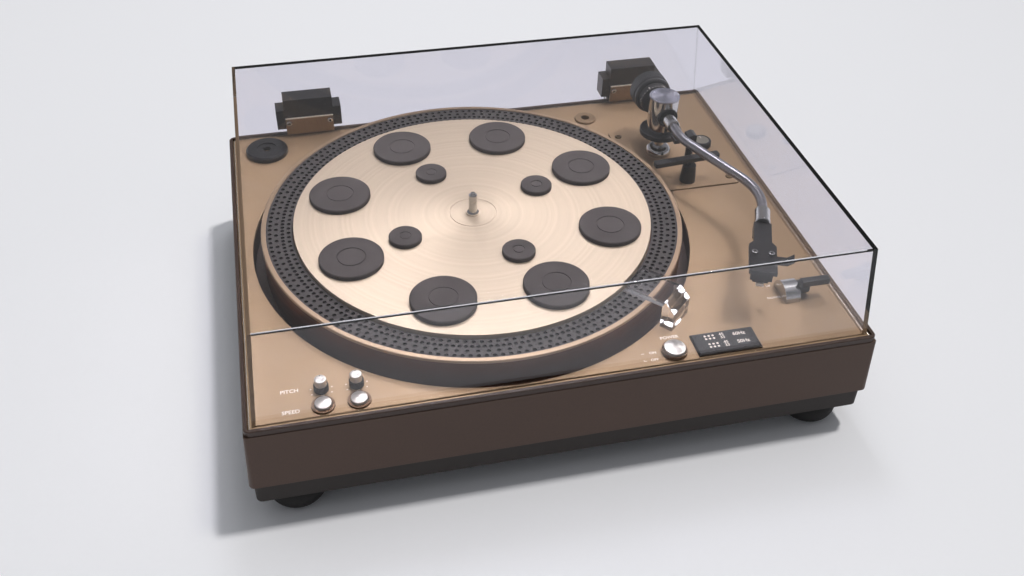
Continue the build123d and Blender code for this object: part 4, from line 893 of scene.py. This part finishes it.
class TURNTABLE_OT_stage(TurntableOperator, bpy.types.Operator):
    """Make the pale floor, the soft light and the camera"""

    bl_idname = "turntable.stage"
    bl_label = "Stage"

    def execute(self, context):
        scene = context.scene
        stage = scene.turntable_stage
        half = stage.floor_size / 2
        work = bmesh.new()
        corners = [(-half, -half, 0), (half, -half, 0), (half, half, 0), (-half, half, 0)]
        work.faces.new(loop_of(work, corners))
        floor = in_scene("floor", to_mesh(work, "floor"))
        material, tree, shader, _ = new_material("pale_floor")
        mottled = place_group(
            tree, grain_group, Colour=stage.floor, Size=4 * MM, Variation=0.004, Roughness=0.5,
            Roughness_Spread=0.02,
        ).outputs
        feed_named(tree, shader, Base_Color=mottled["Colour"], Roughness=mottled["Roughness"])
        floor.data.materials.append(material)

        scene.world = scene.world or bpy.data.worlds.new("studio")
        world_light(scene.world, stage.sky_light)
        # Each lamp's softness is the name of a setting, with its value. It stands at place and faces target
        for name, kind, power, softness, value, tone, place, target in (
            ("key_light", "SUN", stage.key_power, "angle", stage.key_spread, (1.0, 0.965, 0.92),
             (0.42, 0.1, 1.3), (0, 0, 0.1)),
            ("window_light", "AREA", stage.window_power, "size", 0.45, (0.97, 0.98, 1.0),
             (0.14, 0.9, 1.6), PLATTER_CENTRE),
            ("fill_light", "AREA", stage.fill_power, "size", 1.2, (0.9, 0.94, 1.0),
             (-1.1, -1.5, 0.9), (0, 0, 0.05)),
        ):
            light = bpy.data.lights.new(name, kind)
            light.energy = power
            light.color = tone
            setattr(light, softness, value)
            lamp = in_scene(name, light)
            lamp.location = place
            lamp.rotation_euler = (Vector(target) - Vector(place)).to_track_quat("-Z", "Y").to_euler()

        # The camera's right, up and back are the columns of its turn
        camera = in_scene("camera", bpy.data.cameras.new("camera"))
        right = Vector((0.97431, -0.22439, 0.01891))
        up = Vector((0.13084, 0.63247, 0.76346))
        back = Vector((-0.18328, -0.74137, 0.64558))
        turn = Matrix((right, up, back)).transposed().to_4x4()
        camera.matrix_world = Matrix.Translation((-0.17765, -0.70917, 0.64004)) @ turn
        camera.data.lens = stage.lens
        camera.data.sensor_width = 36
        scene.camera = camera
        scene.view_settings.view_transform = "Standard"
        return {"FINISHED"}


class TURNTABLE_OT_finishes(TurntableOperator, bpy.types.Operator):
    """Make the materials and give each CAD piece its own"""

    bl_idname = "turntable.finishes"
    bl_label = "Finishes"

    def execute(self, context):
        build_materials(context.scene.turntable_finishes)
        for material, nodes in {
            "deck": ("deck_plate", "arm_base_plate"),
            "clamp": ("clamp_plates",),
            "case": ("plinth_body",),
            "tray": ("base_tray",),
            "rim": ("rim_trim",),
            "well": ("platter_well",),
            "disc": ("platter",),
            "strobe": ("strobe_ring",),
            "lip": ("platter_lip",),
            "pads": ("platter_pads",),
            "feet": ("rubber_feet", "cord_gland"),
            "chrome": ("spindle", "arm_pillar", "pivot_housing", "arm_block", "locking_collar", "weight_bush",
                       "cue_housing"),
            "satin": ("arm_tube",),
            "collars": ("button_collars",),
            "black": ("hinge_blocks", "hinge_leaves", "cue_lever", "lifter_bar", "lifter_post", "armrest",
                      "pillar_flange", "cartridge", "legend_plate", "force_dial", "antiskate_dial"),
            "lacquer": ("headshell", "finger_lift", "counterweight", "adaptor_45"),
            "steel": ("foot_screws", "bearing_housing", "rotor_magnet", "transformer", "pitch_pins",
                      "hinge_pins"),
            "copper": ("motor_stator",),
            "socket": ("storage_socket",),
            "board": ("control_board",),
            "lamp": ("strobe_lamp",),
            "stylus": ("stylus",),
            "plated": ("signal_sockets",),
            "cover": ("dust_cover",),
            "prism": ("strobe_prism",),
            "spun_pivot": ("pivot_cap",),
            **{material: (node,) for node, material in SPUN_CAPS.items()},
        }.items():
            for node in nodes:
                painted(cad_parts[node].data, material)
        return {"FINISHED"}


class TURNTABLE_OT_cover(TurntableOperator, bpy.types.Operator):
    """Build the dust cover and the strobe prism with eased edges"""

    bl_idname = "turntable.cover"
    bl_label = "Clear cover and prism"

    def execute(self, context):
        for node, body, ease, material in (
            ("dust_cover", "dust_cover", 0.4 * MM, "cover"),
            ("strobe_prism", "plinth", 0.25 * MM, "prism"),
        ):
            mesh = painted(eased_copy(node, ease), material)
            add_piece(node + "_clear", [mesh], body, nodes=(node,), angle=5)
        return {"FINISHED"}


def pit_cell(inner, outer, cells, pit_radius, depth, sides=8, floor_share=0.85):
    """One cell of a strobe row, on +X at its true radius: a patch with a round pit sunk in its middle."""
    middle = (inner + outer) / 2
    half = pi / cells
    corners = (
        (outer, 0), (outer, half), (middle, half), (inner, half),
        (inner, 0), (inner, -half), (middle, -half), (outer, -half),
    )
    work = bmesh.new()
    edge = loop_of(work, [(radius * cos(a) - middle, radius * sin(a), 0) for radius, a in corners])
    mouth = loop_of(work, on_circle(pit_radius, sides))
    floor = loop_of(work, on_circle(floor_share * pit_radius, sides, -depth))
    bridge(work, edge, mouth)
    bridge(work, mouth, floor)
    work.faces.new(floor)
    for face in work.faces:
        face.normal_update()
        if face.normal.z < 0:
            face.normal_flip()
    return to_mesh(work)


class TURNTABLE_OT_strobe_ring(TurntableOperator, bpy.types.Operator):
    """Build the strobe ring with its four rows of pits"""

    bl_idname = "turntable.strobe_ring"
    bl_label = "Strobe ring"

    def execute(self, context):
        sizes = context.scene.turntable_sizes
        low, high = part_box("strobe_ring")
        outer = box_radius("strobe_ring")
        inner = outer - sizes.strobe_width
        margin = sizes.strobe_margin
        rows = (sizes.row_inner, sizes.row_second, sizes.row_third, sizes.row_outer)
        pitch = (outer - inner - 2 * margin) / len(rows)
        slope = sizes.strobe_rise / (outer - inner)
        # The ring's bed lies a groove below the rows, deeper than the pits
        groove = 1.2 * MM
        # Faces between these shares of a pit's depth get black painted shade, which stands in for the shade
        # inside the pits
        dark_shares = (0.2, 1.01)

        def height(radius):
            return high.z - slope * (outer - radius)

        parts = []
        for row, cells in enumerate(rows):
            start = inner + margin + row * pitch
            middle = start + pitch / 2
            cell = pit_cell(start, start + pitch, cells, sizes.pit_radius, sizes.pit_depth)
            for vertex in cell.vertices:
                vertex.co.z += slope * vertex.co.x
            parts.append(ring_of(cell, cells, middle, height(middle), "strobe"))
        bed = [
            (inner, low.z), (outer, low.z), (outer, height(outer)), (outer - margin, height(outer - margin)),
            (outer - margin, height(outer - margin) - groove), (inner + margin, height(inner) - groove),
            (inner + margin, height(inner + margin)), (inner, height(inner)),
        ]
        parts.append(turned("strobe", bed, steps=256, closed=True))
        mesh = joined("strobe_ring", parts)
        mesh.materials.append(MATERIALS["pits"])
        for polygon in mesh.polygons:
            reach = polygon.center.xy.length
            depth_share = (height(reach) - polygon.center.z) / sizes.pit_depth
            if inner + margin < reach < outer - margin and dark_shares[0] < depth_share < dark_shares[1]:
                polygon.material_index = len(mesh.materials) - 1
        place = on_axis(PLATTER_CENTRE)
        add_piece("strobe_ring_pitted", [mesh], "platter", place, ("strobe_ring",), angle=30)
        return {"FINISHED"}


class TURNTABLE_OT_buttons(TurntableOperator, bpy.types.Operator):
    """Build the spun caps of the power button and the two speed buttons"""

    bl_idname = "turntable.buttons"
    bl_label = "Buttons"

    def execute(self, context):
        shank, ease, sunk = 2.6 * MM, 0.5 * MM, 2 * MM
        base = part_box("deck_plate")[0].z - sunk
        for node in ("power_button", "speed_button_33", "speed_button_45"):
            low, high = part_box(node)
            radius = box_radius(node)
            profile = [
                (0, low.z), (shank, low.z), (shank, base), (radius, base), (radius, high.z - ease),
                (radius - 0.3 * ease, high.z - 0.3 * ease), (radius - ease, high.z), (0, high.z),
            ]
            cap = turned(SPUN_CAPS[node], profile, steps=64)
            add_piece(node + "_spun", [cap], node, on_axis(box_centre(node)), (node,))
        return {"FINISHED"}


class TURNTABLE_OT_knobs(TurntableOperator, bpy.types.Operator):
    """Build the two pitch knobs with their fluted black skirts and turned caps"""

    bl_idname = "turntable.knobs"
    bl_label = "Pitch knobs"

    def execute(self, context):
        sizes = context.scene.turntable_sizes
        shank, gap, foot_height = 3 * MM, 0.3 * MM, 1 * MM
        cap_height, lap, dish = 5.6 * MM, 0.2 * MM, 0.3 * MM
        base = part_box("deck_plate")[1].z + gap
        for node in ("pitch_knob_33", "pitch_knob_45"):
            low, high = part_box(node)
            radius = box_radius(node)
            foot, neck, cap_radius = 0.94 * radius, 0.86 * radius, 0.8 * radius
            waist = high.z - cap_height
            skirt = [
                (0, low.z), (shank, low.z), (shank, base), (foot, base), (foot, base + foot_height),
                (neck, waist), (0, waist),
            ]
            cap = [
                (0, waist - lap), (cap_radius, waist - lap), (cap_radius, high.z - 0.5 * MM),
                (0.93 * cap_radius, high.z - 0.1 * MM), (0.85 * cap_radius, high.z),
                (0.62 * cap_radius, high.z), (0.56 * cap_radius, high.z - 0.25 * MM), (0, high.z - dish),
            ]
            flute = block_mesh(0.11 * radius, 0.09 * radius, waist - base - 2 * gap)
            parts = [
                turned("black", skirt, steps=56),
                ring_of(flute, sizes.flutes, 0.93 * radius, (base + waist) / 2, "black"),
                turned(SPUN_CAPS[node], cap),
                bar_mark(0.5 * MM, 0.3 * cap_radius, at(0, 0.72 * cap_radius, high.z), "black"),
            ]
            add_piece(node + "_fluted", parts, node, on_axis(box_centre(node)), (node,))
        return {"FINISHED"}


class TURNTABLE_OT_screws(TurntableOperator, bpy.types.Operator):
    """Build the cross headed screws of the arm's base, the clamp plates and the headshell"""

    bl_idname = "turntable.screws"
    bl_label = "Screws"

    def execute(self, context):
        sizes = context.scene.turntable_sizes
        shade_ring_width, shade_ring_gap, shade_ring_thick = 0.5 * MM, 0.1 * MM, 0.35 * MM
        # Each screw's node, body and material, its head's height, its shank's radius and how it leans back
        for node, body, material, head, shank, lean in (
            ("base_screws", "plinth", "screw", 1.0 * MM, 0.0, None),
            ("clamp_screws", "dust_cover", "chrome", 1.0 * MM, 1.6 * MM, sizes.cover_lean),
            ("shell_screws", "headshell", "chrome", 0.8 * MM, 1.25 * MM, None),
        ):
            tops = []
            for low, high in islands(node):
                middle = (low + high) / 2
                radius = (high.x - low.x) / 2
                if lean is None:
                    tops.append(Vector((middle.x, middle.y, high.z)))
                    long = high.z - low.z
                else:
                    tops.append(Vector((middle.x, low.y + radius * sin(lean), low.z + radius * cos(lean))))
                    long = (high.y - tops[-1].y) / cos(lean)
            turn = (0, 0, 0.5) if lean is None else (pi / 2 + lean, 0, 0)
            parts = []
            # Painted shade: a thin black ring round each base screw's head stands in for the shade of the gap
            # round it
            if node == "base_screws":
                rim = radius - shade_ring_width
                profile = [(rim, 0), (radius, 0), (radius, shade_ring_thick), (rim, shade_ring_thick)]
                shade_ring = turned("pits", profile, steps=32, closed=True)
                parts.append(copies_at(shade_ring, [t - Vector((0, 0, head)) for t in tops], "pits"))
                radius = rim - shade_ring_gap
            # The slot's own depth, and that of the dark plate of painted shade that lies on its floor
            slot, depth, slot_shade_depth = 0.36 * radius, 0.7 * head, 0.66 * head
            screw = cross_head(radius, head, slot, depth, shank, long)
            parts.append(copies_at(screw, tops, material, turn))
            inward = Matrix.Rotation(turn[0], 3, "X") @ Vector((0, 0, -slot_shade_depth))
            # Painted shade: a black plate on the floor of each cross slot
            dark = plate("pits", cross_outline(radius, slot, 0.88), -0.02 * MM, 0)
            parts.append(copies_at(dark, [t + inward for t in tops], "pits", turn))
            add_piece(node + "_crossed", parts, body, nodes=(node,))
        return {"FINISHED"}


class TURNTABLE_OT_weight(TurntableOperator, bpy.types.Operator):
    """Build the ribbed counterweight and the force dial with its numbers"""

    bl_idname = "turntable.weight"
    bl_label = "Counterweight and force dial"

    def execute(self, context):
        sizes = context.scene.turntable_sizes
        bore = 7.1 * MM

        def measures(node):
            low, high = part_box(node)
            front = Vector(((low.x + high.x) / 2, low.y, (low.z + high.z) / 2))
            return (high.z - low.z) / 2, high.y - low.y, along_y(front)

        radius, long, place = measures("counterweight")
        # The body is turned down under the ribs, with a groove near its front and a dished back
        body, groove = radius - 0.5 * MM, radius - 1.1 * MM
        step, ease, dish = 0.4 * MM, 1.2 * MM, 1 * MM
        profile = [
            (bore, 0), (0.8 * radius, 0), (0.83 * radius, step), (body - ease, step), (body, ease + step),
            (body, 0.22 * long), (groove, 0.24 * long), (groove, 0.28 * long), (body, 0.3 * long),
            (body, long - ease), (body - ease, long), (0.62 * radius, long), (0.6 * radius, long - dish),
            (bore + dish, long - dish), (bore, long - step),
        ]
        rib = block_mesh(0.9 * MM, 0.65 * MM, 0.58 * long)
        parts = [
            turned("lacquer", profile, steps=72, closed=True),
            ring_of(rib, sizes.knurls, body, 0.64 * long, "lacquer"),
        ]
        add_piece("counterweight_ribbed", parts, "counterweight", place, ("counterweight",))

        radius, long, place = measures("force_dial")
        face, step, shoulder = radius - 0.25 * MM, 0.5 * MM, 1.1 * MM
        profile = [
            (bore, 0), (0.66 * radius, 0), (0.7 * radius, step), (0.9 * radius, step), (face, shoulder),
            (face, 0.72 * long), (radius, 0.76 * long), (radius, long), (bore, long),
        ]
        ticks, numbers, number_height = 30, ("0", ".5", "1", "1.5", "2", "2.5"), 1.9 * MM
        rib = block_mesh(0.5 * MM, 0.5 * MM, 0.2 * long)
        tick = block_mesh(2 * sizes.ink_thickness, 0.35 * MM, 0.16 * long)
        parts = [
            turned("black", profile, steps=72, closed=True),
            ring_of(rib, sizes.dial_ribs, radius - 0.1 * MM, 0.88 * long, "black"),
            ring_of(tick, ticks, face, 0.24 * long, "ink"),
        ]
        upright = at(face, 0, 0.5 * long) @ Matrix.Rotation(pi / 2, 4, "Z") @ Matrix.Rotation(pi / 2, 4, "X")
        for index, text in enumerate(numbers):
            spin = Matrix.Rotation(2 * pi * index / len(numbers), 4, "Z")
            parts.append(letters(text, number_height, spin @ upright))
        add_piece("force_dial_numbered", parts, "force_dial", place, ("force_dial",))
        return {"FINISHED"}


class TURNTABLE_OT_arm_details(TurntableOperator, bpy.types.Operator):
    """Build the black rings of the pivot's openings, the dark line of painted shade round the base plate and
    the rest's clip
    """

    bl_idname = "turntable.arm_details"
    bl_label = "Arm details"

    def execute(self, context):
        height = box_centre("pitch_pins").z
        radius = box_radius("pivot_housing")
        # Each ring sits in the round wall of the housing and stands a little proud of it
        inner, outer, proud, outer_ease, inner_ease = 7.6 * MM, 9.4 * MM, 0.5 * MM, 0.4 * MM, 0.3 * MM
        seat = sqrt(radius**2 - outer**2)
        deep = radius - seat + proud
        profile = [
            (inner, 0), (outer, 0), (outer, deep - outer_ease), (outer - outer_ease, deep),
            (inner + inner_ease, deep), (inner, deep - inner_ease),
        ]
        rings = []
        for side in (1, -1):
            place = at(PIVOT_CENTRE.x, PIVOT_CENTRE.y - side * seat, height)
            facing = place @ Matrix.Rotation(side * pi / 2, 4, "X")
            rings.append(moved(turned("black", profile, closed=True), facing))
        add_piece("pivot_rings", rings, "arm_swivel")

        # Painted shade: a black strip at deck level round the base plate stands in for the shade at its edge
        shade_seam_width, shade_seam_height = 0.5 * MM, 0.25 * MM
        shade_seam = painted(grown_outline("arm_base_plate", shade_seam_width, shade_seam_height), "pits")
        add_piece("base_seam", [shade_seam], "plinth")

        # The rest: a round post, and a clip with a low lip on its left and a tall hook on its right
        low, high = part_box("armrest")
        tube = box_centre("arm_tube").z
        drop, thick, lip_rise, lip_width = 8.5 * MM, 2.9 * MM, 4.2 * MM, 2 * MM
        hook_width, post_radius, post_reach = 8 * MM, 3.5 * MM, 14 * MM
        shelf = tube - drop
        hook = high.x - hook_width
        post = [(0, low.z), (post_radius, low.z), (post_radius, shelf), (0, shelf)]
        clip = [
            (low.x, shelf), (high.x, shelf), (high.x, tube - 2.4 * MM), (high.x - 2.8 * MM, tube - 1.2 * MM),
            (hook, tube - 3 * MM), (hook, shelf + thick), (low.x + lip_width, shelf + thick),
            (low.x, shelf + lip_rise),
        ]
        parts = [
            moved(turned("black", post, steps=32), at(PIVOT_CENTRE.x + post_reach, (low.y + high.y) / 2, 0)),
            moved(plate("black", clip, -high.y, -low.y), Matrix.Rotation(pi / 2, 4, "X")),
        ]
        add_piece("armrest_clip", parts, "plinth", nodes=("armrest",), angle=30)
        return {"FINISHED"}


class TURNTABLE_OT_skate_dial(TurntableOperator, bpy.types.Operator):
    """Build the anti-skating dial with its ribs and scale"""

    bl_idname = "turntable.skate_dial"
    bl_label = "Anti-skating dial"

    def execute(self, context):
        sizes = context.scene.turntable_sizes
        low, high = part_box("antiskate_dial")
        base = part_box("arm_base_plate")[1].z
        radius = box_radius("antiskate_dial")
        shank, gap, drop, ease, recess = 2.5 * MM, 0.3 * MM, 2.2 * MM, 0.6 * MM, 0.35 * MM
        start, top = base + gap, high.z - drop
        wall = 0.95 * radius
        body = [
            (0, low.z), (shank, low.z), (shank, start), (wall, start), (wall, top - ease),
            (0.88 * radius, top), (0.78 * radius, top), (0.76 * radius, top - recess), (0, top - recess),
        ]
        # A satin disc lies in the recess, with a printed pointer on it
        under, over, mark = top - 0.4 * MM, top - 0.1 * MM, top - 0.08 * MM
        disc = [(0, under), (0.73 * radius, under), (0.72 * radius, over), (0, over)]
        rib = block_mesh(0.08 * radius, 0.06 * radius, top - start - 1.4 * MM)
        parts = [
            turned("black", body, steps=64),
            ring_of(rib, sizes.dial_ribs, wall, (top + start) / 2 - 0.2 * MM, "black"),
            turned("skate", disc, steps=64),
            bar_mark(0.5 * MM, 0.45 * radius, at(0, 0.45 * radius, mark)),
        ]
        place = on_axis(box_centre("antiskate_dial"))
        add_piece("antiskate_dial_ribbed", parts, "antiskate_dial", place, ("antiskate_dial",))
        ticks, tick_gap = 24, 1.2 * MM
        tick = block_mesh(0.9 * MM, 0.25 * MM, sizes.ink_thickness)
        scale = ring_of(tick, ticks, radius + tick_gap, base + sizes.ink_thickness / 2, "ink")
        add_piece("antiskate_scale", [scale], "plinth", place)
        return {"FINISHED"}


class TURNTABLE_OT_deck_trim(TurntableOperator, bpy.types.Operator):
    """Build the bright edge round the deck, whose pale colour is a painted highlight, and the white and red
    rings of the signal sockets
    """

    bl_idname = "turntable.deck_trim"
    bl_label = "Deck trim"

    def execute(self, context):
        sizes = context.scene.turntable_sizes
        low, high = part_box("deck_plate")
        inset, width, sunk, rise = 0.9 * MM, 0.9 * MM, 0.1 * MM, 0.22 * MM
        # Painted highlight: a raised strip in pale metal round the deck's edge
        edge = frame_strip("bright", low, high, inset, width, high.z - sunk, high.z + rise)
        add_piece("deck_edge", [edge], "plinth", angle=30)

        middle = box_centre("signal_sockets")
        collar, bore, rim, deep, ease = 1.45 * MM, 4.25 * MM, 5.9 * MM, 1.4 * MM, 0.4 * MM
        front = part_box("signal_sockets")[0].y + collar
        profile = [(bore, 0), (rim, 0), (rim, deep - ease), (rim - ease, deep), (bore, deep)]
        rings = [
            moved(
                turned(material, profile, steps=40, closed=True),
                along_y(Vector((middle.x + side * sizes.socket_spacing / 2, front, middle.z))),
            )
            for side, material in ((-1, "white"), (1, "red"))
        ]
        add_piece("socket_rings", rings, "plinth")
        return {"FINISHED"}


class TURNTABLE_OT_markings(TurntableOperator, bpy.types.Operator):
    """Print the deck's generic words and marks"""

    bl_idname = "turntable.markings"
    bl_label = "Deck markings"

    def execute(self, context):
        sizes = context.scene.turntable_sizes
        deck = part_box("deck_plate")[1].z + sizes.ink_thickness / 2
        parts = []

        def spot(node, right, ahead):
            centre = box_centre(node)
            return at(centre.x + right * MM, centre.y + ahead * MM, deck)

        # Each word with its node, its place from the node's axis in mm and its share of the letter height
        for text, node, right, ahead, share in (
            ("PITCH", "pitch_knob_33", -22.8, 3.0, 1.0),
            ("SPEED", "speed_button_33", -23.0, -1.8, 1.0),
            ("POWER", "power_button", 1.6, 16.0, 0.9),
            ("ON", "power_button", -16.4, 2.2, 0.75),
            ("OFF", "power_button", -17.2, -5.2, 0.75),
            ("UP", "cue_housing", -11.0, 11.8, 0.7),
            ("DOWN", "cue_housing", -12.4, -2.6, 0.7),
            ("33", "speed_button_33", 0.5, 9.9, 0.55),
            ("45", "speed_button_45", 0.5, 9.9, 0.55),
        ):
            parts.append(letters(text, share * sizes.letter_height, spot(node, right, ahead)))
        # Each dash with its place in the same way, its width and its depth
        for node, right, ahead, wide, deep in (
            ("power_button", -24.3, 2.4, 2.4, 0.45),
            ("power_button", -24.5, -5.4, 2.4, 0.45),
            ("power_button", -25.5, -4.8, 0.45, 1.6),
            ("cue_housing", -15.6, 11.8, 2.0, 0.45),
        ):
            parts.append(bar_mark(wide * MM, deep * MM, spot(node, right, ahead)))
        # Dots to the left and right of each pitch knob, at these turns in degrees
        dot = dot_mesh(0.55 * MM, sizes.ink_thickness)
        reach = 7.9 * MM
        turns = [radians(a) for a in (-65, -25, 15, 165, 205, 245)]
        for node in ("pitch_knob_33", "pitch_knob_45"):
            centre = box_centre(node)
            places = [(centre.x + reach * cos(a), centre.y + reach * sin(a), deck) for a in turns]
            parts.append(copies_at(dot, places, "ink"))
        add_piece("deck_lettering", parts, "plinth")

        low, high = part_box("legend_plate")
        wide, deep = high.x - low.x, high.y - low.y
        top = high.z + sizes.ink_thickness / 2
        row, spacing = 0.135 * deep, 3.2 * MM
        # Two groups of dots and six words, at shares of the plate's width and of its depth from the back
        spots = [
            (low.x + share * wide + column * spacing, high.y - down * deep + rank * row, top)
            for share, down in ((0.275, 0.2515), (0.285, 0.639))
            for rank in (-0.5, 0.5)
            for column in (-1, 0, 1)
        ]
        marks = [copies_at(dot_mesh(1.0 * MM, sizes.ink_thickness), spots, "ink")]
        for text, share, down, height in (
            ("45", 0.475, 0.185, 2.7), ("33", 0.475, 0.33, 2.7),
            ("45", 0.485, 0.57, 2.7), ("33", 0.485, 0.715, 2.7),
            ("60Hz", 0.745, 0.256, 3.3), ("50Hz", 0.755, 0.63, 3.3),
        ):
            marks.append(letters(text, height * MM, at(low.x + share * wide, high.y - down * deep, top)))
        add_piece("legend_marks", marks, "plinth")
        return {"FINISHED"}


# Add-on


class TURNTABLE_PT_sidebar(bpy.types.Panel):
    """Lists the steps that dress the turntable"""

    bl_label = "Turntable"
    bl_idname = "TURNTABLE_PT_sidebar"
    bl_space_type = "VIEW_3D"
    bl_region_type = "UI"
    bl_category = "Turntable"

    def draw(self, context):
        for operator in OPERATORS:
            self.layout.operator(operator.bl_idname)


OPERATORS = (
    TURNTABLE_OT_stage,
    TURNTABLE_OT_finishes,
    TURNTABLE_OT_cover,
    TURNTABLE_OT_strobe_ring,
    TURNTABLE_OT_buttons,
    TURNTABLE_OT_knobs,
    TURNTABLE_OT_screws,
    TURNTABLE_OT_weight,
    TURNTABLE_OT_arm_details,
    TURNTABLE_OT_skate_dial,
    TURNTABLE_OT_deck_trim,
    TURNTABLE_OT_markings,
)
CLASSES = (TurntableFinishes, TurntableSizes, TurntableStage, *OPERATORS, TURNTABLE_PT_sidebar)


def register():
    for item in CLASSES:
        bpy.utils.register_class(item)
    bpy.types.Scene.turntable_finishes = PointerProperty(type=TurntableFinishes)
    bpy.types.Scene.turntable_sizes = PointerProperty(type=TurntableSizes)
    bpy.types.Scene.turntable_stage = PointerProperty(type=TurntableStage)


def unregister():
    del bpy.types.Scene.turntable_stage
    del bpy.types.Scene.turntable_sizes
    del bpy.types.Scene.turntable_finishes
    for item in reversed(CLASSES):
        bpy.utils.unregister_class(item)


def main():
    register()
    for operator in OPERATORS:
        getattr(bpy.ops.turntable, operator.bl_idname.split(".")[1])()
    bpy.context.view_layer.update()


if __name__ == "__main__":
    main()
